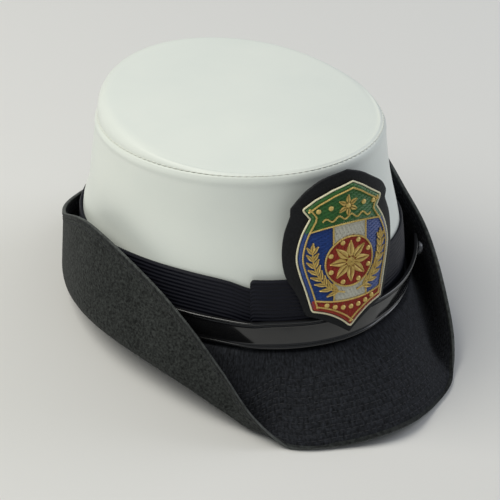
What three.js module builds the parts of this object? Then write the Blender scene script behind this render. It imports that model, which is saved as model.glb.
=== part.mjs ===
// Uniform hat: white crown, ribbed band, front strap, badge, and a brim that is a peak in front
// and is turned up at the sides and the back.
// Millimetres, +Z up. The peak points along -Y, and the hat rests on z = 0 by its own brim.
// Angles run round the head from 0 at the front towards +X, in degrees.

import * as THREE from "three";

// Driving sizes
const gap = 0.3;
const crownWall = 1.8;
const brimWall = 2;
const ringSteps = 56;
const coincident = 1e-6;

// Crown side wall, one row for each section from the foot to the rim seam
// lean is how much a section rises for each millimetre towards the back
const crownRows = [
  { height: 0, halfLength: 101.8, halfWidth: 84.5, back: 0.8, lean: 0 },
  { height: 35, halfLength: 100.6, halfWidth: 83.2, back: 1.9, lean: 0 },
  { height: 44, halfLength: 97.6, halfWidth: 81.6, back: 0.9, lean: 0 },
  { height: 66, halfLength: 92.4, halfWidth: 78.6, back: 2.4, lean: -0.012 },
  { height: 92.6, halfLength: 87, halfWidth: 76.8, back: 2.5, lean: -0.046 },
];
const crownSections = [0, 18, 35, 44, 66, 92.6];

// Top panel: rise of its shoulder over the rim seam, by the angle either way from the front
const shoulderRows = [
  { angle: 0, rise: 1.6 },
  { angle: 50, rise: 1.9 },
  { angle: 90, rise: 7.4 },
  { angle: 130, rise: 14 },
  { angle: 180, rise: 17.9 },
];
const shoulderInset = 0.95;
const shoulderWidth = 7.5;

// Rings of the panel from the seam to the dome: inset in shares of the shoulder's width,
// and height over the seam in shares of the dome's
const panelRings = [
  { inset: 0, climb: 0 },
  { inset: 0.05, climb: 0.45 },
  { inset: 0.2, climb: 0.73 },
  { inset: 0.45, climb: 0.91 },
  { inset: 1, climb: 1 },
  { inset: 4, climb: 1 },
];

// Dome: height in the middle of its plane, slope towards the back, and fullness over the plane
const domeHeight = 101.7;
const domeSlope = 0.0457;
const domeFull = 1.5;

// Ribbed ribbon, wound once round the crown with its outer end lapped over its inner end
// lap is 1 where the ribbon lies on its own inner end, and top is its upper edge
const bandRows = [
  { angle: -38.5, lap: 1, top: 41 },
  { angle: -15, lap: 1, top: 41.5 },
  { angle: 10, lap: 0, top: 41.5 },
  { angle: 60, lap: 0, top: 37.5 },
  { angle: 110, lap: 0, top: 32 },
  { angle: 180, lap: 0, top: 30 },
  { angle: 250, lap: 0, top: 32.5 },
  { angle: 280, lap: 0, top: 38 },
  { angle: 300, lap: 0, top: 39.5 },
  { angle: 314, lap: 0, top: 38.2 },
  { angle: 322, lap: 0, top: 35 },
  { angle: 340, lap: 0, top: 35 },
];
const bandSeat = 0.6;
const bandWall = 1;
const bandSteps = 52;
const backPoints = 4;
const ribCount = 11;
const ribDepth = 0.5;
const ribZone = 24;
const lapLift = bandWall + ribDepth + gap;

// Patent strap: stand is how far its lower edge rides out, over the lapped ribbon and off it at the
// free right end, and flare is how much further its upper edge does
const strapRows = [
  { angle: -72, stand: -0.4, flare: 1.4 },
  { angle: -48, stand: -0.3, flare: 1.8 },
  { angle: -40, stand: 1.4, flare: 1.6 },
  { angle: -36.5, stand: 1.8, flare: 1.3 },
  { angle: -33.5, stand: 1.9, flare: 0 },
  { angle: -15, stand: 1.9, flare: 0 },
  { angle: -6, stand: 1.7, flare: 0 },
  { angle: 4, stand: 0.8, flare: 0.7 },
  { angle: 12, stand: -0.3, flare: 2 },
  { angle: 20, stand: -0.5, flare: 2.6 },
  { angle: 30, stand: -0.5, flare: 2.9 },
  { angle: 38, stand: 0, flare: 3.2 },
  { angle: 46, stand: 0.7, flare: 3.9 },
  { angle: 52, stand: 1.6, flare: 4.3 },
  { angle: 60, stand: 3.2, flare: 4.6 },
];
const strapFoot = 1.9;
const strapHeight = 16.2;
const strapSkin = 1.5;
const strapBead = 0.6;
const strapBeadWidth = 2.6;
const strapBeadFlat = 1;
const strapTip = 7;
const strapTipShare = 0.35;
const strapSteps = 38;
const buttonLeft = -65;
const buttonRight = 53;
const buttonUp = 10.2;
const buttonRadius = 4.2;
const buttonRise = 3.6;
const buttonSides = 14;
const buttonSeat = 0.6;

// Button outline from the middle of its back to the top of its dome, as shares of its radius and rise
const buttonRows = [
  { out: 0, up: 0 },
  { out: 0.85, up: 0 },
  { out: 1, up: 0.2 },
  { out: 0.95, up: 0.45 },
  { out: 0.7, up: 0.8 },
  { out: 0.35, up: 0.97 },
  { out: 0, up: 1 },
];

// Brim underside, one row for each section from the front round to the back
// fold is where the section turns, over a width towards the crown, and edge is where it ends,
// both from the foot of the strap
const brimRows = [
  { angle: 0, foldOut: 19, foldWidth: 0, foldUp: -20.5, edgeOut: 37, edgeUp: -40.5 },
  { angle: 15, foldOut: 19, foldWidth: 0, foldUp: -24, edgeOut: 32.5, edgeUp: -43.3 },
  { angle: 27, foldOut: 21, foldWidth: 0, foldUp: -38, edgeOut: 31, edgeUp: -43 },
  { angle: 36, foldOut: 20.5, foldWidth: 1.5, foldUp: -46, edgeOut: 27.5, edgeUp: -27 },
  { angle: 45, foldOut: 20, foldWidth: 4, foldUp: -38, edgeOut: 20, edgeUp: -3.5 },
  { angle: 56, foldOut: 17.5, foldWidth: 5.5, foldUp: -29, edgeOut: 13, edgeUp: 18 },
  { angle: 70, foldOut: 15, foldWidth: 6, foldUp: -22.5, edgeOut: 7, edgeUp: 34 },
  { angle: 95, foldOut: 14, foldWidth: 6, foldUp: -17, edgeOut: 8, edgeUp: 50 },
  { angle: 125, foldOut: 10.5, foldWidth: 6.5, foldUp: -19.5, edgeOut: 7.5, edgeUp: 30 },
  { angle: 155, foldOut: 10.5, foldWidth: 7.5, foldUp: -20.6, edgeOut: 6.5, edgeUp: 16.5 },
  { angle: 180, foldOut: 10.8, foldWidth: 7.5, foldUp: -20.8, edgeOut: 6, edgeUp: 16 },
];
const brimRoot = 4;
const foldEase = 16;
const rootShare = 0.85;
const foldPoints = 5;
const runPoints = 2;
const cornerEnd = 60;
const cornerSteps = 15;
const sideSteps = 20;
const bindingWidth = 2.2;
const bindingSeat = 0.5;
const bindingSkin = bindingSeat + 0.7;
const hemWidth = bindingWidth + 0.5;
const hemClear = 1;

// Badge, rows give the half width at each height of its outline
// shift moves the middle of the row aside, because the hand-cut shapes aren't quite even
const backingRows = [
  { height: 0.8, half: 0, shift: 0.4 },
  { height: 7, half: 9, shift: 0 },
  { height: 11.6, half: 18.6, shift: 0.2 },
  { height: 13.4, half: 24.6, shift: 0.6 },
  { height: 26, half: 29.6, shift: 0.8 },
  { height: 36, half: 34.6, shift: 0.4 },
  { height: 46, half: 36, shift: 0 },
  { height: 60, half: 34.4, shift: -0.5 },
  { height: 70.5, half: 30, shift: -1.5 },
  { height: 74.6, half: 30.8, shift: -0.7 },
  { height: 80.5, half: 26, shift: -0.7 },
  { height: 85.5, half: 19.4, shift: -2.2 },
  { height: 91, half: 9.2, shift: -2 },
  { height: 93.3, half: 0, shift: 0 },
];
const fieldRows = [
  { height: 0, half: 0, shift: 0 },
  { height: 5.2, half: 5.9, shift: 0 },
  { height: 9.8, half: 14.7, shift: 0 },
  { height: 11.2, half: 20.4, shift: 0.2 },
  { height: 23.4, half: 23.6, shift: 0.2 },
  { height: 32.9, half: 26.3, shift: 0.1 },
  { height: 41, half: 27.7, shift: 0.1 },
  { height: 53.4, half: 24.5, shift: -0.6 },
  { height: 63.3, half: 18.8, shift: -1.6 },
  { height: 68.3, half: 22.4, shift: -1.7 },
  { height: 72.7, half: 15.9, shift: -2.2 },
  { height: 76.8, half: 8.6, shift: -0.9 },
  { height: 80, half: 0, shift: 1.9 },
];
const badgeFront = 108.8;
const badgeFoot = 8;
const badgeTurn = -5.6;
const badgeLean = 7;
const badgeTilt = 3;
const badgeRadius = 57;
const fieldFoot = 6;
const backingWall = 2;
const badgeSeat = 0.45;
const fieldWall = 1.4;
const rimWidth = 1.5;
const rimWall = 2;
const badgeColumns = 10;
const pinRadius = 4;
const pinHeight = 26;
const pinSides = 12;

// How the hat stands: it leans back on the corners of the peak and the fold at the back
const restPitch = 8;
const restHeight = 26.2;
const restWall = 1.4;

const radians = THREE.MathUtils.degToRad;

// Smooth curve through a table, as a function from the key column to the other columns
function tableCurve(rows, key, ending) {
  const columns = Object.keys(rows[0]).filter((name) => name !== key);
  const places = rows.map((row) => row[key]);
  const values = rows.flatMap((row) => columns.map((name) => row[name]));
  const spline = new THREE.CubicInterpolant(places, values, columns.length);
  spline.settings = { endingStart: ending, endingEnd: ending };
  return (place) => {
    const sample = spline.evaluate(place);
    return Object.fromEntries(columns.map((name, column) => [name, sample[column]]));
  };
}

const crownAt = tableCurve(crownRows, "height", THREE.ZeroCurvatureEnding);
const bandAt = tableCurve(bandRows, "angle", THREE.ZeroSlopeEnding);
const strapAt = tableCurve(strapRows, "angle", THREE.ZeroSlopeEnding);
const brimAt = tableCurve(brimRows, "angle", THREE.ZeroSlopeEnding);
const shoulderAt = tableCurve(shoulderRows, "angle", THREE.ZeroSlopeEnding);

// Evenly spaced values from first to last
function spread(first, last, count) {
  return Array.from({ length: count + 1 }, (_, step) => first + ((last - first) * step) / count);
}

// Angles of a closed ring, without the repeated last one
function ringAngles(count) {
  return spread(-180, 180, count).slice(0, count);
}

// Angles of the brim's sections, closer together round the corners of the peak
function brimAngles() {
  const half = [...spread(0, cornerEnd, cornerSteps), ...spread(cornerEnd, 180, sideSteps).slice(1)];
  const mirrored = half.slice(1).reverse().map((angle) => -angle);
  return [...mirrored, ...half.slice(0, -1)];
}

// Point on an oval section at an angle, moved out along the oval's normal and up
function ovalPoint(section, angle, out, up) {
  const sine = Math.sin(radians(angle));
  const cosine = Math.cos(radians(angle));
  const normal = new THREE.Vector2(sine / section.halfWidth, -cosine / section.halfLength).normalize();
  const x = section.halfWidth * sine + normal.x * out;
  const y = section.back - section.halfLength * cosine + normal.y * out;
  return new THREE.Vector3(x, y, up + section.lean * y);
}

// Point on or off the crown's outer face
function crownPoint(angle, out, up) {
  return ovalPoint(crownAt(up), angle, out, up);
}

// Point of the brim, measured from the foot of the crown
function footPoint(angle, out, up) {
  return ovalPoint(crownRows[0], angle, out, up);
}

// Closed solid through equal section loops
// ends is "ring" for a closed ring, "point" where the first and last section close by themselves,
// or the flat outline of a section that caps both ends
function sweepSolid(sections, ends) {
  const loop = sections[0].length;
  const corners = sections.flat();
  const faces = [];
  const addFace = (a, b, c) => {
    const sides = [[a, b], [b, c], [c, a]];
    if (sides.every(([from, to]) => corners[from].distanceTo(corners[to]) > coincident)) {
      faces.push(a, b, c);
    }
  };
  const addQuad = (a, b, c, d) => {
    if (corners[a].distanceTo(corners[c]) < corners[b].distanceTo(corners[d])) {
      addFace(a, b, c);
      addFace(a, c, d);
    } else {
      addFace(a, b, d);
      addFace(b, c, d);
    }
  };
  const spans = ends === "ring" ? sections.length : sections.length - 1;
  for (let span = 0; span < spans; span += 1) {
    const here = span * loop;
    const there = ((span + 1) % sections.length) * loop;
    for (let k = 0; k < loop; k += 1) {
      const next = (k + 1) % loop;
      addQuad(here + k, there + k, there + next, here + next);
    }
  }
  if (Array.isArray(ends)) {
    const last = spans * loop;
    for (const [a, b, c] of THREE.ShapeUtils.triangulateShape(ends, [])) {
      addFace(a, b, c);
      addFace(last + a, last + c, last + b);
    }
  }
  const geometry = new THREE.BufferGeometry().setFromPoints(corners);
  geometry.setIndex(faces);
  geometry.computeVertexNormals();
  return geometry;
}

function piece(name, geometry, color, roughness, metalness = 0) {
  const mesh = new THREE.Mesh(geometry, new THREE.MeshStandardMaterial({ color, roughness, metalness }));
  mesh.name = name;
  return mesh;
}

// White side wall, open above and below
function crownSide() {
  const top = crownRows.at(-1).height - gap;
  const heights = crownSections.map((height) => Math.min(height, top));
  const sections = ringAngles(ringSteps).map((angle) => {
    const outer = heights.map((height) => crownPoint(angle, 0, height));
    const inner = heights.map((height) => crownPoint(angle, -crownWall, height));
    return [...outer, ...inner.reverse()];
  });
  return piece("crown_side", sweepSolid(sections, "ring"), 0xe3e7e4, 0.45);
}

// White top panel, a soft dome that stands higher over the seam towards the back
function crownTop() {
  const rim = crownRows.at(-1);
  const ringScale = 1 - (shoulderInset + shoulderWidth) / rim.halfWidth;
  const panelPoint = (angle, inset, climb, drop) => {
    const scale = 1 - inset / rim.halfWidth;
    const section = { ...rim, halfLength: rim.halfLength * scale, halfWidth: rim.halfWidth * scale };
    const point = ovalPoint(section, angle, 0, rim.height);
    const ringBack = -rim.halfLength * ringScale * Math.cos(radians(angle));
    const ringHeight = rim.height + rim.lean * (rim.back + ringBack) + shoulderAt(Math.abs(angle)).rise;
    const low = ringHeight - domeHeight - domeSlope * ringBack;
    const far = (scale / ringScale) ** 2;
    const dome = domeHeight + domeSlope * (point.y - rim.back) + low * far + domeFull * (1 - far);
    point.z += (dome - point.z) * climb - drop;
    return point;
  };
  const slant = crownWall * Math.SQRT1_2;
  const turn = panelRings[2];
  const insetOf = (share) => shoulderInset + share * shoulderWidth;
  const sections = ringAngles(ringSteps).map((angle) => [
    ...panelRings.map(({ inset, climb }) => panelPoint(angle, insetOf(inset), climb, 0)),
    new THREE.Vector3(0, rim.back, domeHeight + domeFull),
    new THREE.Vector3(0, rim.back, domeHeight + domeFull - crownWall),
    panelPoint(angle, insetOf(1), 1, crownWall),
    panelPoint(angle, insetOf(turn.inset) + slant, turn.climb, slant),
    panelPoint(angle, insetOf(0) + crownWall, 0, 0),
  ]);
  return piece("crown_top", sweepSolid(sections, "ring"), 0xe6ebe4, 0.42);
}

// Ribbon with raised ribs above a plain foot
function band() {
  const profile = ({ lap, top }) => {
    const inner = bandSeat + lap * lapLift;
    const outer = inner + bandWall;
    const pitch = ribZone / ribCount;
    const points = [new THREE.Vector2(outer, gap)];
    for (let rib = 0; rib < ribCount; rib += 1) {
      const foot = top - ribZone + rib * pitch;
      points.push(new THREE.Vector2(outer, foot));
      points.push(new THREE.Vector2(outer + ribDepth, foot + pitch / 2));
    }
    points.push(new THREE.Vector2(outer, top));
    const back = spread(top, gap, backPoints).map((height) => new THREE.Vector2(inner, height));
    return [...points, ...back];
  };
  const first = bandRows[0].angle;
  const last = bandRows.at(-1).angle;
  const sections = spread(first, last, bandSteps).map((angle) =>
    profile(bandAt(angle)).map((point) => crownPoint(angle, point.x, point.y)),
  );
  return piece("band", sweepSolid(sections, profile(bandRows[0])), 0x15161c, 0.8);
}

// Face of the strap, with a raised bead along both edges and rounded tips
const strapInner = bandSeat + bandWall + ribDepth + gap;
const strapOuter = strapInner + strapSkin + strapBead;

function chinStrap() {
  const face = strapInner + strapSkin;
  const edge = strapHeight / 2;
  const slope = (strapBeadWidth - strapBeadFlat) / 2;
  const lowerBead = [
    new THREE.Vector2(face, -edge),
    new THREE.Vector2(strapOuter, -edge + slope),
    new THREE.Vector2(strapOuter, -edge + slope + strapBeadFlat),
    new THREE.Vector2(face, -edge + strapBeadWidth),
  ];
  const upperBead = lowerBead.map(({ x, y }) => new THREE.Vector2(x, -y)).reverse();
  const back = [new THREE.Vector2(strapInner, edge), new THREE.Vector2(strapInner, -edge)];
  const profile = [...lowerBead, ...upperBead, ...back];
  const first = strapRows[0].angle;
  const last = strapRows.at(-1).angle;
  const sections = spread(first, last, strapSteps).map((angle) => {
    const fromTip = radians(Math.min(angle - first, last - angle)) * crownRows[0].halfWidth;
    const round = Math.min(fromTip / strapTip, 1);
    const share = Math.max(Math.sqrt(1 - (1 - round) ** 2), strapTipShare);
    const { stand, flare } = strapAt(angle);
    return profile.map(({ x, y }) => {
      const up = edge + y * share;
      return crownPoint(angle, x + stand + (flare * up) / strapHeight, strapFoot + up);
    });
  });
  return piece("chin_strap", sweepSolid(sections, profile), 0x0c0c0e, 0.12);
}

// Domed button on the strap's end
function strapButton(name, angle) {
  const outline = buttonRows.map(({ out, up }) => new THREE.Vector2(out * buttonRadius, up * buttonRise));
  const mesh = piece(name, new THREE.LatheGeometry(outline, buttonSides), 0x4c4d4f, 0.2);
  const { stand, flare } = strapAt(angle);
  const seat = strapOuter + stand + (flare * buttonUp) / strapHeight + buttonSeat;
  const middle = strapFoot + buttonUp;
  const foot = crownPoint(angle, seat, middle);
  const outward = crownPoint(angle, seat + 1, middle).sub(foot);
  outward.z -= flare / strapHeight;
  mesh.position.copy(foot);
  mesh.quaternion.setFromUnitVectors(new THREE.Vector3(0, 1, 0), outward.normalize());
  return mesh;
}

// Section of the brim at an angle: its underside from the crown's inner face to the edge,
// and its upper face, each point facing the same point of the underside
function brimSection(angle) {
  const row = brimAt(Math.abs(angle));
  const floor = -gap - brimWall;
  const inner = new THREE.Vector2(-brimRoot - crownWall, floor);
  const root = new THREE.Vector2(0, floor);
  const fold = new THREE.Vector2(row.foldOut, row.foldUp);
  const edge = new THREE.Vector2(row.edgeOut, row.edgeUp);
  const turnIn = new THREE.Vector2(row.foldOut - row.foldWidth, row.foldUp);
  const easeIn = Math.min(foldEase, rootShare * turnIn.distanceTo(root));
  const hem = edge.clone().lerp(fold, hemWidth / fold.distanceTo(edge));
  const easeOut = Math.min(foldEase, fold.distanceTo(edge) - hemWidth - hemClear);
  const start = turnIn.clone().lerp(root, easeIn / turnIn.distanceTo(root));
  const finish = fold.clone().lerp(edge, easeOut / fold.distanceTo(edge));
  const pull = 2 / 3;
  const turn = new THREE.CubicBezierCurve(
    start,
    start.clone().lerp(turnIn, pull),
    finish.clone().lerp(fold, pull),
    finish,
  );
  const under = [
    inner,
    root,
    ...turn.getPoints(foldPoints),
    ...spread(0, 1, runPoints).slice(1).map((share) => finish.clone().lerp(hem, share)),
    edge,
  ];
  const upper = under.map((point, k) => {
    const before = under[Math.max(k - 1, 0)];
    const after = under[Math.min(k + 1, under.length - 1)];
    const along = after.clone().sub(before).normalize();
    return new THREE.Vector2(point.x - along.y * brimWall, point.y + along.x * brimWall);
  });
  return { under, upper };
}

// Turns the hat's own frame into the frame of the surface that it stands on
const standing = new THREE.Matrix4()
  .makeRotationX(radians(-restPitch))
  .setPosition(0, 0, restHeight);

// Standing point of the brim; nothing goes lower than level, where the cloth lies flat
function standingPoint(angle, { x, y }, level) {
  const point = footPoint(angle, brimRoot + x, y).applyMatrix4(standing);
  point.z = Math.max(point.z, level);
  return point;
}

// Brim in one piece, with its underside flattened where it rests
function brim() {
  const sections = brimAngles().map((angle) => {
    const { under, upper } = brimSection(angle);
    const levels = under.map((_, k) => (k < under.length - 2 ? 0 : bindingSkin));
    const below = under.map((point, k) => standingPoint(angle, point, levels[k]));
    const above = upper.map((point, k) => standingPoint(angle, point, levels[k] + restWall));
    return [...below, ...above.reverse()];
  });
  return piece("brim", sweepSolid(sections, "ring"), 0x1d1f26, 0.85);
}

// Folded binding that wraps the brim's edge
function brimBinding() {
  const sections = brimAngles().map((angle) => {
    const { under, upper } = brimSection(angle);
    const edge = under.at(-1);
    const across = upper.at(-1).clone().sub(edge).normalize();
    const along = new THREE.Vector2(across.y, -across.x);
    const corner = (out, side, level) =>
      standingPoint(angle, edge.clone().addScaledVector(along, out).addScaledVector(across, side), level);
    const top = bindingSkin + restWall;
    return [
      corner(-bindingWidth, -bindingSkin, 0),
      corner(bindingSkin, -bindingSkin, 0),
      corner(bindingSkin, brimWall + bindingSkin, top + bindingSkin),
      corner(-bindingWidth, brimWall + bindingSkin, top + bindingSkin),
      corner(-bindingWidth, brimWall + bindingSeat, top + bindingSeat),
      corner(bindingSeat, brimWall + bindingSeat, top + bindingSeat),
      corner(bindingSeat, -bindingSeat, bindingSkin - bindingSeat),
      corner(-bindingWidth, -bindingSeat, bindingSkin - bindingSeat),
    ];
  });
  return piece("brim_binding", sweepSolid(sections, "ring"), 0x272930, 0.8);
}

// Point of the badge: across is measured round its curve, out from the backing's back face,
// which stands on y = 0 in the badge's own frame
function badgePoint(across, out, height) {
  const bend = across / badgeRadius;
  const radius = badgeRadius + out;
  return new THREE.Vector3(Math.sin(bend) * radius, badgeRadius - Math.cos(bend) * radius, height);
}

// Curved plate with a closed outline, from its back to its front face
function badgePlate(rows, foot, back, front) {
  const columns = spread(-1, 1, badgeColumns);
  const sections = rows.map(({ height, half, shift }) => {
    const face = columns.map((share) => badgePoint(shift - share * half, front, foot + height));
    const rear = columns.map((share) => badgePoint(shift + share * half, back, foot + height));
    return [...face, ...rear];
  });
  return sweepSolid(sections, "point");
}

function badgeBacking() {
  return piece("badge_backing", badgePlate(backingRows, 0, 0, backingWall), 0x121318, 0.6);
}

const fieldBack = backingWall + badgeSeat;

function badgeField() {
  const geometry = badgePlate(fieldRows, fieldFoot, fieldBack, fieldBack + fieldWall);
  return piece("badge_field", geometry, 0x2c4a9a, 0.5);
}

// Gold rim that follows the outline of the shield
function badgeRim() {
  const cornerOn = (side) => ({ height, half, shift }) => new THREE.Vector2(shift + side * half, height);
  const right = fieldRows.map(cornerOn(1));
  const left = fieldRows.slice(1, -1).map(cornerOn(-1));
  const path = [...right, ...left.reverse()];
  const sections = path.map((point, k) => {
    const before = path[(k + path.length - 1) % path.length];
    const after = path[(k + 1) % path.length];
    const along = after.clone().sub(before).normalize();
    const outward = new THREE.Vector2(along.y, -along.x);
    const inside = point.clone().addScaledVector(outward, 2 * gap);
    const outside = point.clone().addScaledVector(outward, 2 * gap + rimWidth);
    return [
      badgePoint(outside.x, fieldBack, fieldFoot + outside.y),
      badgePoint(outside.x, fieldBack + rimWall, fieldFoot + outside.y),
      badgePoint(inside.x, fieldBack + rimWall, fieldFoot + inside.y),
      badgePoint(inside.x, fieldBack, fieldFoot + inside.y),
    ];
  });
  return piece("badge_rim", sweepSolid(sections, "ring"), 0xc9a84a, 0.35, 0.9);
}

// Post behind the backing, level with the foot of the ribs
function badgePin() {
  const ribbon = bandSeat + bandAt(badgeTurn).lap * lapLift + bandWall + ribDepth;
  const face = crownPoint(badgeTurn, ribbon, pinHeight);
  const rise = (pinHeight - badgeFoot) * Math.tan(radians(badgeLean));
  const length = badgeFront - rise - Math.hypot(face.x, face.y) - 2 * gap;
  const geometry = new THREE.CylinderGeometry(pinRadius, pinRadius, length, pinSides);
  const mesh = piece("badge_pin", geometry, 0x8d7a45, 0.5, 0.8);
  mesh.position.set(0, gap + length / 2, pinHeight - badgeFoot);
  return mesh;
}

// Everything above the brim leans with the crown
const upright = new THREE.Group();
upright.applyMatrix4(standing);
upright.add(crownSide(), crownTop(), band(), chinStrap());
upright.add(strapButton("strap_button_left", buttonLeft));
upright.add(strapButton("strap_button_right", buttonRight));

// The badge stands in front of the strap, a little off the middle, and leans back
const badge = new THREE.Group();
badge.add(badgeBacking(), badgeField(), badgeRim(), badgePin());
badge.position.set(0, -badgeFront, badgeFoot);
badge.rotation.set(radians(-badgeLean), radians(badgeTilt), 0);
const badgeArm = new THREE.Group();
badgeArm.rotation.z = radians(badgeTurn);
badgeArm.add(badge);
upright.add(badgeArm);

const hat = new THREE.Group();
hat.add(upright, brim(), brimBinding());

// The origin is the middle of the base
const middle = new THREE.Box3().setFromObject(hat, true).getCenter(new THREE.Vector3());
hat.position.set(-middle.x, -middle.y, 0);

export default hat;
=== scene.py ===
import math

import bmesh
import bpy
import numpy as np
from mathutils import Matrix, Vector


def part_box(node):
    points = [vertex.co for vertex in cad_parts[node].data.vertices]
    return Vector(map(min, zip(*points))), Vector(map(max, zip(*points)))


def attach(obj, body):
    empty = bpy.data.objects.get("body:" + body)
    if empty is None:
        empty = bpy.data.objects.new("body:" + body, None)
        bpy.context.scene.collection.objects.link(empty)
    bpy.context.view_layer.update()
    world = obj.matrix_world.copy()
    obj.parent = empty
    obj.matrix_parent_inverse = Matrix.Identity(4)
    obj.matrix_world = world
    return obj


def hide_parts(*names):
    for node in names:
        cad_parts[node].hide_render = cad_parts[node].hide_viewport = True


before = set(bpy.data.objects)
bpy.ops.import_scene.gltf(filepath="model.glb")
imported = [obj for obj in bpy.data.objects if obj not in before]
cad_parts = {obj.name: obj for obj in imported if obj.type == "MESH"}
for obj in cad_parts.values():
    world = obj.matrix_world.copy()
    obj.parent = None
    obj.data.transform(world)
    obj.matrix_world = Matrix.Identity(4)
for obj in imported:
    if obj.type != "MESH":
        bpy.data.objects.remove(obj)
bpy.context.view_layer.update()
chance = np.random.default_rng(11)
print("frame:", len(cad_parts), "solids loaded")

hat = {
    "gap": 0.3,  # mm between neighbouring pieces
    "pitch": 8,  # degrees that the hat leans back on its brim
    "lift": 26.2,  # mm from the table to the foot of the crown
    "wall": 1.8,  # mm of leathercloth and backing
    "top": 92.3,  # height of the side wall
    "rows": [  # height, half length, half width, shift to the back, lean
        (0, 101.8, 84.5, 0.8, 0),
        (35, 100.6, 83.2, 1.9, 0),
        (44, 97.6, 81.6, 0.9, 0),
        (66, 92.4, 78.6, 2.4, -0.012),
        (92.6, 87, 76.8, 2.5, -0.046),
    ],
}


# Shape helpers
def tableCurve(rows, flatEnds):
    # smooth curve through a table, the first column is the place along it
    table = np.array(rows, float)
    places, values = table[:, 0], table[:, 1:]
    slopes = np.diff(values, axis=0) / np.diff(places)[:, None]
    ends = 0 if flatEnds else 1
    tangents = np.vstack([slopes[:1] * ends, (slopes[1:] + slopes[:-1]) / 2, slopes[-1:] * ends])

    def at(place):
        place = np.clip(np.asarray(place, float), places[0], places[-1])
        k = np.clip(np.searchsorted(places, place) - 1, 0, len(places) - 2)
        span = (places[k + 1] - places[k])[..., None]
        t = (place - places[k])[..., None] / span
        rise = values[k + 1] - values[k]
        early, late = tangents[k] * span, tangents[k + 1] * span
        bend = 3 * rise - 2 * early - late
        return values[k] + t * early + t**2 * bend + t**3 * (early + late - 2 * rise)

    return at


def ovalPoints(sections, angles, out, up):
    # points on oval sections at angles in degrees, moved out along the oval's normal and up
    halfLength, halfWidth, back, lean = np.moveaxis(np.asarray(sections, float), -1, 0)
    sine, cosine = np.sin(np.radians(angles)), np.cos(np.radians(angles))
    nx, ny = sine / halfWidth, -cosine / halfLength
    length = np.hypot(nx, ny)
    x = halfWidth * sine + nx / length * out
    y = back - halfLength * cosine + ny / length * out
    return np.stack(np.broadcast_arrays(x, y, up + lean * y), -1)


crownCurve = tableCurve(hat["rows"], False)


def crownPoints(angles, out, up):
    # points on or off the crown's outer face
    return ovalPoints(crownCurve(up), angles, out, up)


def stand(points):
    # leans the hat back and lifts it on to its brim, still in millimetres
    x, y, z = np.moveaxis(np.asarray(points, float), -1, 0)
    c, s = math.cos(math.radians(hat["pitch"])), math.sin(math.radians(hat["pitch"]))
    return np.stack([x, y * c + z * s, z * c - y * s + hat["lift"]], -1)


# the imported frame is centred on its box, so the crown's own front edge says how far that moved it
crownReach = stand(crownPoints(np.zeros(40), 0.0, np.linspace(0, hat["top"], 40)))[:, 1].min()
hat["shift"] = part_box("crown_side")[0].y * 1000 - crownReach


def metres(points):
    return (np.asarray(points) + np.array([0, hat["shift"], 0])) / 1000


def lengths(path):
    # distance along a path of points, starting at 0
    steps = np.linalg.norm(np.diff(path, axis=0), axis=1)
    return np.concatenate([[0], np.cumsum(steps)])


def alongPath(places, along, values):
    # values at distances along a path
    return np.stack([np.interp(places, along, column) for column in values.T], -1)


def resample(path, count):
    # the same path with evenly spaced points
    along = lengths(path)
    return alongPath(np.linspace(0, along[-1], count), along, path)


def unit(vectors):
    return vectors / np.maximum(np.linalg.norm(vectors, axis=-1, keepdims=True), 1e-9)


def ripple(angles, heights, reach, size, seed):
    # soft unevenness of a formed wall: a few broad waves that close round the ring
    waves = np.random.default_rng(seed)
    total = np.zeros(np.broadcast_shapes(np.shape(angles), np.shape(heights)))
    for turns in (2, 3, 5, 7, 11):
        start, climb = waves.uniform(0, 6.28, 2)
        wave = np.sin(np.radians(angles) * turns + start + climb * heights / reach)
        total = total + wave / turns**0.5
    return size * total / 2.2  # the five waves together come to about 2.2


def gridFaces(rows, columns, ringRows, ringColumns):
    # quads of a grid of points, with the grid places of their corners
    i = np.arange(rows if ringRows else rows - 1)
    j = np.arange(columns if ringColumns else columns - 1)
    a, b = (part.ravel() for part in np.meshgrid(i, j, indexing="ij"))
    corners = [(a, b), (a + 1, b), (a + 1, b + 1), (a, b + 1)]
    faces = np.stack([(p % rows) * columns + q % columns for p, q in corners], -1)
    return faces, np.stack([np.stack(corner, -1) for corner in corners], 1)


def makePiece(
    name, points, faces, materials, nodes=(), kinds=None, uv=None, wearAndHighlight=None, sharp=38
):
    # one closed mesh in the frame, riding on the hat and standing for CAD nodes
    mesh = bpy.data.meshes.new(name)
    mesh.from_pydata(metres(points).reshape(-1, 3).tolist(), [], faces)
    for material in materials:
        mesh.materials.append(material)
    if kinds is not None:
        mesh.polygons.foreach_set("material_index", np.asarray(kinds, np.int32))
    if uv is not None:
        flat = np.zeros((len(mesh.loops), 2))
        flat[: len(uv)] = uv
        mesh.uv_layers.new(name="lengths").data.foreach_set("uv", flat.ravel())
    if wearAndHighlight is not None:
        mesh.attributes.new("wearAndHighlight", "FLOAT", "POINT").data.foreach_set("value", np.ravel(wearAndHighlight))
    shape = bmesh.new()
    shape.from_mesh(mesh)
    bmesh.ops.remove_doubles(shape, verts=shape.verts, dist=1e-7)
    bmesh.ops.recalc_face_normals(shape, faces=shape.faces)
    shape.to_mesh(mesh)
    shape.free()
    mesh.shade_smooth()
    mesh.set_sharp_from_angle(angle=math.radians(sharp))
    piece = bpy.data.objects.new(name, mesh)
    bpy.context.scene.collection.objects.link(piece)
    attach(piece, "root")
    if nodes:
        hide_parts(*nodes)


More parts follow.
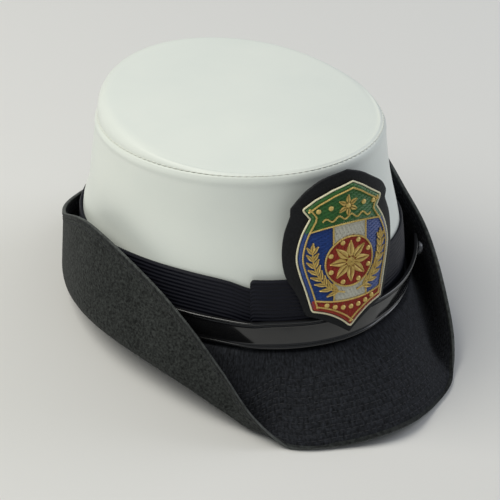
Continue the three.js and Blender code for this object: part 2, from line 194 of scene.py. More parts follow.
def sweptPiece(name, grid, materials, nodes, ring, kindAt=None, wearAndHighlight=None, uv=None):
    # closed loops of points swept along rows; open sweeps are capped across the loop's two halves
    rows, columns = grid.shape[:2]
    faces, places = gridFaces(rows, columns, ring, True)
    kinds = None if kindAt is None else [kindAt(b) for b in places[:, 0, 1]]
    faces = faces.tolist()
    if not ring:
        half = columns // 2
        for first in (0, (rows - 1) * columns):
            for k in range(half - 1):
                low, high = first + k, first + columns - 1 - k
                faces.append([low, low + 1, high - 1, high])
                if kinds is not None:
                    kinds.append(0)
    if uv is not None:
        uv = uv[places[..., 0], places[..., 1]].reshape(-1, 2)
    makePiece(name, grid, faces, materials, nodes, kinds, uv, wearAndHighlight)


def sweptLengths(grid, ring):
    # real lengths along and across a swept grid in metres, for patterns that follow it
    rows = np.concatenate([grid, grid[:1]]) if ring else grid
    rows = np.concatenate([rows, rows[:, :1]], axis=1)
    along = lengths(rows[:, rows.shape[1] // 4])
    across = lengths(rows[rows.shape[0] // 2])
    return np.stack(np.meshgrid(along, across, indexing="ij"), -1) / 1000


def threadMesh(starts, ends, ups, radius, arch):
    # sewn threads: small round strands that dip into the cloth at both ends
    shares = np.array([0, 0.14, 0.5, 0.86, 1])
    girth = np.array([0.35, 0.85, 1, 0.85, 0.35])
    lift = np.array([-0.6, 0.25, 1, 0.25, -0.6])
    sides = np.radians([18, 90, 162, 234, 306])
    along = unit(ends - starts)
    ups = unit(ups - along * np.sum(along * ups, -1, keepdims=True))
    across = np.cross(along, ups)
    middle = starts[:, None] + (ends - starts)[:, None] * shares[:, None]
    middle = middle + ups[:, None] * (lift * arch)[:, None]
    ring = across[:, None] * np.cos(sides)[:, None] + ups[:, None] * np.sin(sides)[:, None]
    points = middle[:, :, None] + ring[:, None] * (radius * girth)[:, None, None]
    count, rings, spokes = points.shape[:3]
    first = (np.arange(count) * rings * spokes)[:, None, None]
    body = first + gridFaces(rings, spokes, False, True)[0]
    tips = np.stack([np.arange(spokes), (rings - 1) * spokes + np.arange(spokes)])
    faces = body.reshape(-1, 4).tolist() + (first + tips).reshape(-1, spokes).tolist()
    return points.reshape(-1, 3), faces


def stitchRow(path, above, stitch, pitch, jitter):
    # starts, ends and upward directions of a row of stitches along a path
    along = lengths(path)
    count = int(along[-1] / pitch)
    firsts = np.arange(count) * along[-1] / count
    if jitter:
        firsts = firsts + chance.uniform(0, jitter, count)
    ups = unit(alongPath(firsts + stitch / 2, along, above))
    return alongPath(firsts, along, path), alongPath(firsts + stitch, along, path), ups


def twistedCord(path, ups, radius, pitch, strands, closed):
    # strands laid round a path; each is a tube that circles the path once in every pitch
    if closed:
        path, ups = np.vstack([path, path[:1]]), np.vstack([ups, ups[:1]])
    off, thick, sides = 0.45, 0.58, 6  # shares of the radius: strand from the path, its own radius
    along = lengths(path)
    turns = max(1, round(along[-1] / pitch))
    count = turns * 8 + 1  # eight points to a turn
    places = np.linspace(0, along[-1], count)
    line = alongPath(places, along, path)
    up = unit(alongPath(places, along, ups))
    forward = unit(np.gradient(line, axis=0))
    side = unit(np.cross(forward, up))
    up = np.cross(side, forward)
    points, faces, used = [], [], 0
    for strand in range(strands):
        turn = np.linspace(0, 2 * math.pi * turns, count) + 2 * math.pi * strand / strands
        outward = side * np.cos(turn)[:, None] + up * np.sin(turn)[:, None]
        centre = line + outward * radius * off
        aside = np.cross(forward, outward)
        spokes = np.radians(np.arange(0, 360, 360 // sides))
        ring = outward[:, None] * np.cos(spokes)[:, None] + aside[:, None] * np.sin(spokes)[:, None]
        tube = centre[:, None] + ring * radius * thick
        if closed:
            tube = tube[:-1]
        body = gridFaces(len(tube), len(spokes), closed, True)[0] + used
        faces += body.tolist()
        if not closed:
            ends = np.arange(len(spokes))
            last = (len(tube) - 1) * len(spokes)
            faces += [(used + ends).tolist(), (used + last + ends).tolist()]
        points.append(tube.reshape(-1, 3))
        used += tube.shape[0] * tube.shape[1]
    return np.vstack(points), faces


def joined(parts):
    # several meshes as one: their points, faces and the part that each face came from
    points, faces, kinds, used = [], [], [], 0
    for kind, (partPoints, partFaces) in parts:
        points.append(np.asarray(partPoints).reshape(-1, 3))
        faces += [[used + corner for corner in face] for face in partFaces]
        kinds += [kind] * len(partFaces)
        used += len(points[-1])
    return np.vstack(points), faces, kinds


# Material helpers
def linear(hexColour):
    channels = [int(hexColour[k : k + 2], 16) / 255 for k in (0, 2, 4)]
    return [c / 12.92 if c <= 0.04045 else ((c + 0.055) / 1.055) ** 2.4 for c in channels] + [1]


def perMm(size):
    # scale of a noise or cell pattern whose features are this many millimetres wide
    return 1000 / size


def wavePerMm(pitch):
    # scale of a wave pattern that repeats every so many millimetres
    return 1000 / pitch * math.pi / 10


def newMaterial(name):
    material = bpy.data.materials.new(name)
    material.use_nodes = True
    material.node_tree.nodes.clear()
    return material, material.node_tree


def addNode(tree, kind, settings=None, links=None):
    # adds a node, sets its sockets or properties, and links its inputs to other outputs
    node = tree.nodes.new("ShaderNode" + kind)
    for key, value in (settings or {}).items():
        if isinstance(key, int) or key in node.inputs:
            node.inputs[key].default_value = value
        else:
            setattr(node, key, value)
    for key, output in (links or {}).items():
        tree.links.new(output, node.inputs[key])
    return node


leathercloth = {
    "colour": "eef2ea",
    "shade": "e2e8e2",
    "soil": "cdd2c8",
    "cloud": 45,  # mm across the faint clouds in the coating
    "grain": 1.1,  # mm, the real pebble is about 0.5 and would not show
    "roughness": 0.4,
}


def calenderedLeathercloth():
    # PVC on cotton, pressed smooth between hot rollers
    # broad soft shine, fine pebble, greyer along its seams
    material, tree = newMaterial("calenderedLeathercloth")
    where = addNode(tree, "TexCoord")
    clouds = addNode(
        tree, "TexNoise",
        {"Scale": perMm(leathercloth["cloud"]), "Detail": 3.0},
        {"Vector": where.outputs["Object"]},
    )
    tone = addNode(
        tree, "Mix",
        {"data_type": "RGBA", 6: linear(leathercloth["colour"]), 7: linear(leathercloth["shade"])},
        {0: clouds.outputs[0]},
    )
    rubAndHighlight = addNode(tree, "Attribute", {"attribute_name": "wearAndHighlight"})
    patchy = addNode(
        tree, "Math", {"operation": "MULTIPLY"}, {0: rubAndHighlight.outputs["Fac"], 1: clouds.outputs[0]}
    )
    soiled = addNode(
        tree, "Mix",
        {"data_type": "RGBA", 7: linear(leathercloth["soil"])},
        {0: patchy.outputs[0], 6: tone.outputs[2]},
    )
    grain = addNode(
        tree, "TexVoronoi",
        {"feature": "SMOOTH_F1", "Scale": perMm(leathercloth["grain"]), "Smoothness": 0.6},
        {"Vector": where.outputs["Object"]},
    )
    polish = addNode(
        tree, "MapRange",
        {"To Min": leathercloth["roughness"] - 0.05, "To Max": leathercloth["roughness"] + 0.09},
        {"Value": clouds.outputs[0]},
    )
    bump = addNode(
        tree, "Bump", {"Strength": 0.12, "Distance": 0.0002}, {"Height": grain.outputs["Distance"]}
    )
    shader = addNode(
        tree, "BsdfPrincipled",
        {"IOR": 1.5, "Coat Weight": 0.08, "Coat Roughness": 0.3},
        {
            "Base Color": soiled.outputs[2], "Roughness": polish.outputs[0],
            "Normal": bump.outputs[0],
        },
    )
    addNode(tree, "OutputMaterial", None, {"Surface": shader.outputs[0]})
    return material


backing = {
    "colour": "d6d3c8",
    "thread": "bdb9ab",
    "loop": 1.5,  # mm, real loops are about 0.8 and would not show
    "fuzz": 0.9,  # mm
}


def knittedBacking():
    # brushed cotton knit on the back of the leathercloth: matt, cream, with short rows of loops
    material, tree = newMaterial("knittedBacking")
    where = addNode(tree, "UVMap", {"uv_map": "lengths"})
    rows = addNode(
        tree, "TexWave",
        {"Scale": wavePerMm(backing["loop"]), "Distortion": 1.2, "Detail Scale": 2.0},
        {"Vector": where.outputs[0]},
    )
    fuzz = addNode(
        tree, "TexNoise",
        {"Scale": perMm(backing["fuzz"]), "Detail": 4.0},
        {"Vector": where.outputs[0]},
    )
    height = addNode(
        tree, "Math", {"operation": "ADD"}, {0: rows.outputs["Fac"], 1: fuzz.outputs[0]}
    )
    tone = addNode(
        tree, "Mix",
        {"data_type": "RGBA", 6: linear(backing["thread"]), 7: linear(backing["colour"])},
        {0: rows.outputs["Fac"]},
    )
    bump = addNode(
        tree, "Bump", {"Strength": 0.4, "Distance": 0.0003}, {"Height": height.outputs[0]}
    )
    shader = addNode(
        tree, "BsdfPrincipled",
        {"Roughness": 0.92, "Sheen Weight": 0.25, "Sheen Roughness": 0.5},
        {"Base Color": tone.outputs[2], "Normal": bump.outputs[0]},
    )
    addNode(tree, "OutputMaterial", None, {"Surface": shader.outputs[0]})
    return material


petersham = {
    "colour": "181925",
    "deep": "090a10",
    "cross": 1.3,  # mm, real cross threads are about 0.4 apart and would not show
    "shed": 7,  # mm along the ribbon between lighter and darker runs of thread
    "end": 1.1,  # mm across such a run
}


def wovenPetersham():
    # viscose ribbon woven with cords along it: silky ribs, fine cross threads, blue-black
    material, tree = newMaterial("wovenPetersham")
    where = addNode(tree, "UVMap", {"uv_map": "lengths"})
    cross = addNode(
        tree, "TexWave",
        {
            "bands_direction": "X", "Scale": wavePerMm(petersham["cross"]), "Distortion": 0.8,
            "Detail Scale": 3.0,
        },
        {"Vector": where.outputs[0]},
    )
    runs = addNode(
        tree, "Mapping",
        {"Scale": (perMm(petersham["shed"]), perMm(petersham["end"]), 1)},
        {"Vector": where.outputs[0]},
    )
    streaks = addNode(tree, "TexNoise", {"Scale": 1.0, "Detail": 3.0}, {"Vector": runs.outputs[0]})
    tone = addNode(
        tree, "Mix",
        {"data_type": "RGBA", 6: linear(petersham["deep"]), 7: linear(petersham["colour"])},
        {0: streaks.outputs[0]},
    )
    bump = addNode(
        tree, "Bump", {"Strength": 0.3, "Distance": 0.00012}, {"Height": cross.outputs["Fac"]}
    )
    gloss = addNode(
        tree, "MapRange", {"To Min": 0.42, "To Max": 0.66}, {"Value": streaks.outputs[0]}
    )
    shader = addNode(
        tree, "BsdfPrincipled",
        {
            "Specular IOR Level": 0.22, "Sheen Weight": 0.03, "Sheen Roughness": 0.35,
            "Sheen Tint": linear("9aa0b4"),
        },
        {"Base Color": tone.outputs[2], "Roughness": gloss.outputs[0], "Normal": bump.outputs[0]},
    )
    addNode(tree, "OutputMaterial", None, {"Surface": shader.outputs[0]})
    return material


patent = {
    "colour": "19191a",
    "crease": "1f1f1f",
    "wave": 11,  # mm of slow waves in the lacquer
    "peel": 2.2,  # mm of orange peel
}


def lacqueredPatentLeather():
    # split leather under poured polyurethane lacquer
    # mirror gloss that wavers, dull only in the creases
    material, tree = newMaterial("lacqueredPatentLeather")
    where = addNode(tree, "UVMap", {"uv_map": "lengths"})
    slow = addNode(
        tree, "TexNoise",
        {"Scale": perMm(patent["wave"]), "Detail": 1.0},
        {"Vector": where.outputs[0]},
    )
    peel = addNode(
        tree, "TexNoise",
        {"Scale": perMm(patent["peel"]), "Detail": 2.0},
        {"Vector": where.outputs[0]},
    )
    broad = addNode(
        tree, "Bump", {"Strength": 0.25, "Distance": 0.0006}, {"Height": slow.outputs[0]}
    )
    bump = addNode(
        tree, "Bump",
        {"Strength": 0.06, "Distance": 0.0002},
        {"Height": peel.outputs[0], "Normal": broad.outputs[0]},
    )
    creased = addNode(tree, "Attribute", {"attribute_name": "wearAndHighlight"})
    tone = addNode(
        tree, "Mix",
        {"data_type": "RGBA", 6: linear(patent["colour"]), 7: linear(patent["crease"])},
        {0: creased.outputs["Fac"]},
    )
    dull = addNode(
        tree, "MapRange", {"To Min": 0.16, "To Max": 0.5}, {"Value": creased.outputs["Fac"]}
    )
    shader = addNode(
        tree, "BsdfPrincipled",
        {"IOR": 1.5, "Coat Weight": 0.35, "Coat Roughness": 0.05},
        {"Base Color": tone.outputs[2], "Roughness": dull.outputs[0], "Normal": bump.outputs[0]},
    )
    addNode(tree, "OutputMaterial", None, {"Surface": shader.outputs[0]})
    return material


inkedEdge = {
    "colour": "17171a",
    "deep": "0b0b0c",
    "fibre": 0.9,  # mm, real fibres are about 0.3 and would not show
}


def inkedSplitLeather():
    # cut edges and flesh side of the strap, stained black and burnished
    # dull, so no light runs along the edge
    material, tree = newMaterial("inkedSplitLeather")
    where = addNode(tree, "TexCoord")
    fibres = addNode(
        tree, "TexNoise",
        {"Scale": perMm(inkedEdge["fibre"]), "Detail": 4.0},
        {"Vector": where.outputs["Object"]},
    )
    tone = addNode(
        tree, "Mix",
        {"data_type": "RGBA", 6: linear(inkedEdge["deep"]), 7: linear(inkedEdge["colour"])},
        {0: fibres.outputs[0]},
    )
    bump = addNode(
        tree, "Bump", {"Strength": 0.25, "Distance": 0.0002}, {"Height": fibres.outputs[0]}
    )
    shader = addNode(
        tree, "BsdfPrincipled",
        {"Roughness": 0.7, "Specular IOR Level": 0.15},
        {"Base Color": tone.outputs[2], "Normal": bump.outputs[0]},
    )
    addNode(tree, "OutputMaterial", None, {"Surface": shader.outputs[0]})
    return material


resin = {"colour": "4c4d4f", "roughness": 0.18, "scuff": 3}  # mm between faint polishing marks


def polishedResin():
    # cast polyester resin, turned and polished
    # smoke grey with a tight highlight and a few rubbing marks
    material, tree = newMaterial("polishedResin")
    where = addNode(tree, "TexCoord")
    marks = addNode(
        tree, "TexNoise",
        {"Scale": perMm(resin["scuff"]), "Detail": 6.0},
        {"Vector": where.outputs["Object"]},
    )
    gloss = addNode(
        tree, "MapRange",
        {"From Min": 0.4, "From Max": 0.75, "To Min": resin["roughness"], "To Max": 0.3},
        {"Value": marks.outputs[0]},
    )
    bump = addNode(
        tree, "Bump", {"Strength": 0.03, "Distance": 0.0002}, {"Height": marks.outputs[0]}
    )
    shader = addNode(
        tree, "BsdfPrincipled",
        {"Base Color": linear(resin["colour"]), "IOR": 1.56},
        {"Roughness": gloss.outputs[0], "Normal": bump.outputs[0]},
    )
    addNode(tree, "OutputMaterial", None, {"Surface": shader.outputs[0]})
    return material


melton = {
    "colour": "383a40",
    "deep": "0a0b0c",
    "cord": 1.5,  # mm, real warp threads are about 0.7 apart and would not show
    "run": 5,  # mm that a thread shows before it goes under
    "fleck": 1.7,
}


def wovenMelton():
    # worsted cloth, milled and stitched in rows
    # blue-black, matt, with short warp threads and stray fibres
    material, tree = newMaterial("wovenMelton")
    where = addNode(tree, "UVMap", {"uv_map": "lengths"})
    threads = addNode(
        tree, "Mapping",
        {"Scale": (perMm(melton["cord"]), perMm(melton["run"]), 1)},
        {"Vector": where.outputs[0]},
    )
    warp = addNode(
        tree, "TexNoise",
        {"Scale": 1.0, "Detail": 4.0, "Roughness": 0.6},
        {"Vector": threads.outputs[0]},
    )
    flecks = addNode(
        tree, "TexNoise",
        {"Scale": perMm(melton["fleck"]), "Detail": 5.0, "Roughness": 0.65},
        {"Vector": where.outputs[0]},
    )
    mixed = addNode(
        tree, "Math", {"operation": "MULTIPLY"}, {0: warp.outputs[0], 1: flecks.outputs[0]}
    )
    spread = addNode(
        tree, "MapRange", {"From Min": 0.13, "From Max": 0.42}, {"Value": mixed.outputs[0]}
    )
    tone = addNode(
        tree, "Mix",
        {"data_type": "RGBA", 6: linear(melton["deep"]), 7: linear(melton["colour"])},
        {0: spread.outputs[0]},
    )
    bump = addNode(
        tree, "Bump", {"Strength": 0.55, "Distance": 0.0004}, {"Height": spread.outputs[0]}
    )
    shader = addNode(
        tree, "BsdfPrincipled",
        {
            "Roughness": 0.85, "Specular IOR Level": 0.12, "Sheen Weight": 0.04,
            "Sheen Roughness": 0.45,
        },
        {"Base Color": tone.outputs[2], "Normal": bump.outputs[0]},
    )
    addNode(tree, "OutputMaterial", None, {"Surface": shader.outputs[0]})
    return material


felt = {
    "colour": "424543",
    "deep": "101111",
    "nap": 1.5,  # mm, real tufts are about 0.8 and would not show
    "patch": 30,  # mm across areas of thicker and thinner nap
    "worn": "505350",
}


def pressedFelt():
    # wool felt, wetted and pressed on to the brim
    # charcoal, mottled nap, paler where the fold and edge are rubbed
    material, tree = newMaterial("pressedFelt")
    where = addNode(tree, "TexCoord")
    nap = addNode(
        tree, "TexNoise",
        {"Scale": perMm(felt["nap"]), "Detail": 2.0, "Roughness": 0.6, "Distortion": 0.4},
        {"Vector": where.outputs["Object"]},
    )
    areas = addNode(
        tree, "TexNoise",
        {"Scale": perMm(felt["patch"]), "Detail": 2.0},
        {"Vector": where.outputs["Object"]},
    )
    thick = addNode(tree, "MapRange", {"To Min": 0.85, "To Max": 1.15}, {"Value": areas.outputs[0]})
    mixed = addNode(
        tree, "Math", {"operation": "MULTIPLY"}, {0: nap.outputs[0], 1: thick.outputs[0]}
    )
    spread = addNode(
        tree, "MapRange", {"From Min": 0.28, "From Max": 0.76}, {"Value": mixed.outputs[0]}
    )
    tone = addNode(
        tree, "Mix",
        {"data_type": "RGBA", 6: linear(felt["deep"]), 7: linear(felt["colour"])},
        {0: spread.outputs[0]},
    )
    rubAndHighlight = addNode(tree, "Attribute", {"attribute_name": "wearAndHighlight"})
    share = addNode(
        tree, "Math", {"operation": "MULTIPLY"}, {0: rubAndHighlight.outputs["Fac"], 1: nap.outputs[0]}
    )
    paler = addNode(
        tree, "Mix",
        {"data_type": "RGBA", 7: linear(felt["worn"])},
        {0: share.outputs[0], 6: tone.outputs[2]},
    )
    bump = addNode(tree, "Bump", {"Strength": 0.7, "Distance": 0.0005}, {"Height": nap.outputs[0]})
    shader = addNode(
        tree, "BsdfPrincipled",
        {
            "Roughness": 0.95, "Specular IOR Level": 0.1, "Sheen Weight": 0.05,
            "Sheen Roughness": 0.5,
        },
        {"Base Color": paler.outputs[2], "Normal": bump.outputs[0]},
    )
    addNode(tree, "OutputMaterial", None, {"Surface": shader.outputs[0]})
    return material


tape = {
    "colour": "3b3e3d",
    "deep": "121314",
    # colour of the painted highlight along the fold
    "fold": "6a6d6b",
    "rib": 1.2,  # mm, real tape ribs are about 0.5 and would not show
    "nap": 2.3,
}


def wovenTape():
    # wool tape woven with cross ribs, folded over the edge and sewn
    # as dark as the felt, with a painted highlight: paler along the fold, where light would catch the
    # rounded edge
    material, tree = newMaterial("wovenTape")
    where = addNode(tree, "UVMap", {"uv_map": "lengths"})
    ribs = addNode(
        tree, "TexWave",
        {"bands_direction": "X", "Scale": wavePerMm(tape["rib"]), "Distortion": 0.6},
        {"Vector": where.outputs[0]},
    )
    uneven = addNode(
        tree, "TexNoise", {"Scale": perMm(tape["nap"]), "Detail": 3.0}, {"Vector": where.outputs[0]}
    )
    share = addNode(
        tree, "MapRange", {"From Min": 0.3, "From Max": 0.75}, {"Value": uneven.outputs[0]}
    )
    tone = addNode(
        tree, "Mix",
        {"data_type": "RGBA", 6: linear(tape["deep"]), 7: linear(tape["colour"])},
        {0: share.outputs[0]},
    )
    # painted highlight: the attribute marks where the fold would catch light, and the colour turns
    # paler there
    rubAndHighlight = addNode(tree, "Attribute", {"attribute_name": "wearAndHighlight"})
    patchy = addNode(
        tree, "Math", {"operation": "MULTIPLY"}, {0: rubAndHighlight.outputs["Fac"], 1: uneven.outputs[0]}
    )
    paler = addNode(
        tree, "Mix",
        {"data_type": "RGBA", 7: linear(tape["fold"])},
        {0: patchy.outputs[0], 6: tone.outputs[2]},
    )
    bump = addNode(
        tree, "Bump", {"Strength": 0.3, "Distance": 0.0002}, {"Height": ribs.outputs["Fac"]}
    )
    shader = addNode(
        tree, "BsdfPrincipled",
        {
            "Roughness": 0.85, "Specular IOR Level": 0.15, "Sheen Weight": 0.05,
            "Sheen Roughness": 0.4,
        },
        {"Base Color": paler.outputs[2], "Normal": bump.outputs[0]},
    )
    addNode(tree, "OutputMaterial", None, {"Surface": shader.outputs[0]})
    return material


board = {
    "colour": "1c1d20",
    "deep": "0c0d0f",
    "grain": 1.2,  # mm, real grain is about 0.6 and would not show
}


def embossedLeatherboard():
    # leatherboard under black embossed skin: matt, with a fine even grain
    material, tree = newMaterial("embossedLeatherboard")
    where = addNode(tree, "TexCoord")
    grain = addNode(
        tree, "TexVoronoi", {"Scale": perMm(board["grain"])}, {"Vector": where.outputs["Object"]}
    )
    tone = addNode(
        tree, "Mix",
        {"data_type": "RGBA", 6: linear(board["colour"]), 7: linear(board["deep"])},
        {0: grain.outputs["Distance"]},
    )
    bump = addNode(
        tree, "Bump",
        {"Strength": 0.35, "Distance": 0.0002, "invert": True},
        {"Height": grain.outputs["Distance"]},
    )
    shader = addNode(
        tree, "BsdfPrincipled",
        {"Roughness": 0.6, "Specular IOR Level": 0.25},
        {"Base Color": tone.outputs[2], "Normal": bump.outputs[0]},
    )
    addNode(tree, "OutputMaterial", None, {"Surface": shader.outputs[0]})
    return material


threadPly = 0.8  # mm, real plies are about 0.2 and would not show


def spunThread(name, colour, deep, roughness, sheen):
    # rayon or polyester thread, spun and laid side by side
    # soft gloss along each strand, and painted shade: darker between plies, laid out by a fine noise
    material, tree = newMaterial(name)
    where = addNode(tree, "TexCoord")
    plies = addNode(
        tree, "TexNoise",
        {"Scale": perMm(threadPly), "Detail": 3.0},
        {"Vector": where.outputs["Object"]},
    )
    # painted shade between plies: the deep colour is mixed in by the fine noise
    tone = addNode(
        tree, "Mix",
        {"data_type": "RGBA", 6: linear(deep), 7: linear(colour)},
        {0: plies.outputs[0]},
    )
    bump = addNode(
        tree, "Bump", {"Strength": 0.2, "Distance": 0.0001}, {"Height": plies.outputs[0]}
    )
    shader = addNode(
        tree, "BsdfPrincipled",
        {"Roughness": roughness, "Sheen Weight": sheen, "Sheen Roughness": 0.3},
        {"Base Color": tone.outputs[2], "Normal": bump.outputs[0]},
    )
    addNode(tree, "OutputMaterial", None, {"Surface": shader.outputs[0]})
    return material


gilt = {
    "wire": ("f3dd8c", "c49c48", 0.3),  # bright and dull colour, share of bare metal
    "cord": ("fffbe2", "efe6b8", 0.1),
    "spot": 2.5,  # mm between brighter and duller lengths
}


def drawnGiltWire(name, make):
    # gilded wire, drawn and wound on thread
    # warm glints where metal shows, duller where it has been handled
    bright, dull, metal = gilt[make]
    material, tree = newMaterial(name)
    where = addNode(tree, "TexCoord")
    spots = addNode(
        tree, "TexNoise",
        {"Scale": perMm(gilt["spot"]), "Detail": 4.0},
        {"Vector": where.outputs["Object"]},
    )
    tone = addNode(
        tree, "Mix",
        {"data_type": "RGBA", 6: linear(dull), 7: linear(bright)},
        {0: spots.outputs[0]},
    )
    gloss = addNode(tree, "MapRange", {"To Min": 0.5, "To Max": 0.26}, {"Value": spots.outputs[0]})
    bump = addNode(
        tree, "Bump", {"Strength": 0.15, "Distance": 0.0001}, {"Height": spots.outputs[0]}
    )
    shader = addNode(
        tree, "BsdfPrincipled",
        {"Metallic": metal},
        {"Base Color": tone.outputs[2], "Roughness": gloss.outputs[0], "Normal": bump.outputs[0]},
    )
    addNode(tree, "OutputMaterial", None, {"Surface": shader.outputs[0]})
    return material


brass = {
    "colour": "b79a55",
    "dull": "7d6a3a",
    "turning": 0.9,  # mm, real turning marks are about 0.1 apart and would not show
}


def turnedBrass():
    # plain brass rod, turned and left bare: dull gold with rings of tool marks
    material, tree = newMaterial("turnedBrass")
    where = addNode(tree, "TexCoord")
    marks = addNode(
        tree, "TexWave",
        {"bands_direction": "Y", "Scale": wavePerMm(brass["turning"]), "Distortion": 0.5},
        {"Vector": where.outputs["Object"]},
    )
    tone = addNode(
        tree, "Mix",
        {"data_type": "RGBA", 6: linear(brass["dull"]), 7: linear(brass["colour"])},
        {0: marks.outputs["Fac"]},
    )
    bump = addNode(
        tree, "Bump", {"Strength": 0.2, "Distance": 0.0001}, {"Height": marks.outputs["Fac"]}
    )
    shader = addNode(
        tree, "BsdfPrincipled",
        {"Metallic": 1.0, "Roughness": 0.42},
        {"Base Color": tone.outputs[2], "Normal": bump.outputs[0]},
    )
    addNode(tree, "OutputMaterial", None, {"Surface": shader.outputs[0]})
    return material


whiteCloth = calenderedLeathercloth()
creamKnit = knittedBacking()
blackRibbon = wovenPetersham()
blackPatent = lacqueredPatentLeather()
blackEdge = inkedSplitLeather()
greyResin = polishedResin()
navyCloth = wovenMelton()
greyFelt = pressedFelt()
edgeTape = wovenTape()
blackBoard = embossedLeatherboard()
goldWire = drawnGiltWire("drawnGiltWire", "wire")
paleCord = drawnGiltWire("woundGiltCord", "cord")
whiteSewing = spunThread("spunPolyesterWhite", "f0f1ea", "dcded4", 0.55, 0.1)
darkSewing = spunThread("spunPolyesterNavy", "2a2c32", "15171b", 0.7, 0.03)
print("materials ready")

# Crown, side wall and top panel
crown = {
    "columns": 320,
    "rows": 66,
    "rimRows": 20,  # of these, closer rows towards the rim
    "rimFrom": 84,
    "roll": 2.3,  # mm of the wall's upper edge that rounds in to the seam
    "turnIn": 1.0,
    "welt": (0.35, 3, 1.9),  # mm that the turned edge stands out, mm below the seam, mm wide
    "uneven": 0.4,  # mm of soft unevenness in the formed wall
    "calm": (20, 14),  # mm over which it dies out at the foot and the rim
    "soiled": (50, 14, 0.5),  # height where soil begins, mm to its full share, that share
    "soiledRim": 0.6,
    "edge": [  # angle either way from the front, rise of the panel's shoulder over the seam
        (0, 1.6),
        (50, 1.9),
        (90, 7.4),
        (130, 14),
        (180, 17.9),
    ],
    "edgeInset": 0.95,  # mm from the rim to the foot of the panel
    "edgeWidth": 7.5,
    "edgePower": 2.6,  # how square the shoulder is
    "tuck": 0.2,  # mm that the panel's foot reaches down into the seam
    "level": (101.7, 0.0457, 1.5),  # height in the middle, slope to the back, fullness
    "bead": (0.75, 1.6, 0.95),  # mm that the panel swells by the seam, mm in from its foot, mm wide
    "beadFade": (3, 7),  # rise of the shoulder where the swelling starts to die out, and ends
    "panelWall": 1.8,
    "edgeRows": 18,
    "domeRows": 32,
    "stitch": 2.7,
    "stitchPitch": 3.6,
    "stitchUp": 0.5,  # mm over the foot of the panel
    "stitchArch": 0.14,
    "thread": 0.3,
}
ringAngles = np.linspace(-180, 180, crown["columns"], endpoint=False)
edgeCurve = tableCurve(crown["edge"], True)


def crownSide():
    plain = np.linspace(0, crown["rimFrom"], crown["rows"] - crown["rimRows"])
    rim = np.linspace(crown["rimFrom"] + 0.8, hat["top"], crown["rimRows"])
    heights = np.concatenate([plain, rim])
    angles = ringAngles[:, None]
    low, high = crown["calm"]
    fade = np.clip(heights / low, 0, 1) * np.clip((hat["top"] - heights) / high, 0, 1)
    soft = ripple(angles, heights, 60, crown["uneven"], 3) * fade
    over = np.clip((heights - hat["top"] + crown["roll"]) / crown["roll"], 0, 1)
    turned = (1 - np.sqrt(1 - over**2)) * crown["turnIn"]
    out, down, wide = crown["welt"]
    welt = out * np.exp(-(((heights - hat["top"] + down) / wide) ** 2))
    outer = crownPoints(angles, soft + welt - turned, heights[None])
    inner = crownPoints(angles, soft - hat["wall"], heights[None])
    grid = np.concatenate([outer, inner[:, ::-1]], axis=1)
    begin, reach, most = crown["soiled"]
    soil = np.clip((begin - heights) / reach, 0, 1) ** 2 * most + over**2 * crown["soiledRim"]
    wearAndHighlight = np.broadcast_to(np.concatenate([soil, heights * 0]), grid.shape[:2])
    uv = sweptLengths(grid, True)
    half = len(heights)
    sweptPiece(
        "crownSide", stand(grid), [whiteCloth, creamKnit], ["crown_side"],
        True, lambda k: 0 if k < half else 1, wearAndHighlight, uv,
    )


def panelPoints(angles, insets, climb, drop):
    # points of the top panel at insets from the rim
    # climb is the share of the dome's height over the seam
    height, halfLength, halfWidth, back, lean = hat["rows"][-1]
    middle, slope, full = crown["level"]
    rise = edgeCurve(np.abs(angles))[..., 0]
    share = np.maximum(1 - np.asarray(insets) / halfWidth, 1e-6)
    keep = np.ones_like(share)
    sections = np.stack([halfLength * share, halfWidth * share, back * keep, lean * keep], -1)
    points = ovalPoints(sections, angles, 0, height)
    ringShare = 1 - (crown["edgeInset"] + crown["edgeWidth"]) / halfWidth
    ringBack = -halfLength * ringShare * np.cos(np.radians(angles))
    lower = height + lean * (back + ringBack) + rise - middle - slope * ringBack
    far = (share / ringShare) ** 2
    dome = middle + slope * (points[..., 1] - back) + lower * far + full * (1 - far)
    foot = points[..., 2] - crown["tuck"]
    high, inFrom, wide = crown["bead"]
    begin, end = crown["beadFade"]
    bead = high * np.exp(-(((insets - crown["edgeInset"] - inFrom) / wide) ** 2))
    bead = bead * np.clip((end - rise) / (end - begin), 0, 1)
    points[..., 2] = foot + (dome - foot) * climb + bead - drop
    return points


def shoulder(place):
    # share of the height that the panel's edge has climbed at a share of its width
    return (1 - (1 - place) ** crown["edgePower"]) ** (1 / crown["edgePower"])


def panelFace(drop):
    # one face of the panel: up over the soft shoulder, then in over the dome to the middle
    place = np.linspace(0, 1, crown["edgeRows"]) ** 2
    facing = np.sqrt(place) * math.pi / 2
    ring = crown["edgeInset"] + crown["edgeWidth"]
    insets = crown["edgeInset"] + crown["edgeWidth"] * place + drop * np.cos(facing)
    insets = np.concatenate([insets, np.linspace(ring, hat["rows"][-1][2], crown["domeRows"])[1:]])
    climb = np.concatenate([shoulder(place), np.ones(crown["domeRows"] - 1)])
    drops = np.concatenate([drop * np.sin(facing), np.full(crown["domeRows"] - 1, drop)])
    return panelPoints(ringAngles[:, None], insets[None], climb[None], drops[None]), climb


def crownTop():
    outer, climb = panelFace(0)
    inner, _ = panelFace(crown["panelWall"])
    grid = np.concatenate([outer, inner[:, ::-1]], axis=1)
    half = outer.shape[1]
    seam = np.clip(0.4 - climb, 0, 1)
    wearAndHighlight = np.broadcast_to(np.concatenate([seam, seam * 0]), grid.shape[:2])
    uv = sweptLengths(grid, True)
    sweptPiece(
        "crownTop", stand(grid), [whiteCloth, creamKnit], ["crown_top"],
        True, lambda k: 0 if k < half - 1 else 1, wearAndHighlight, uv,
    )


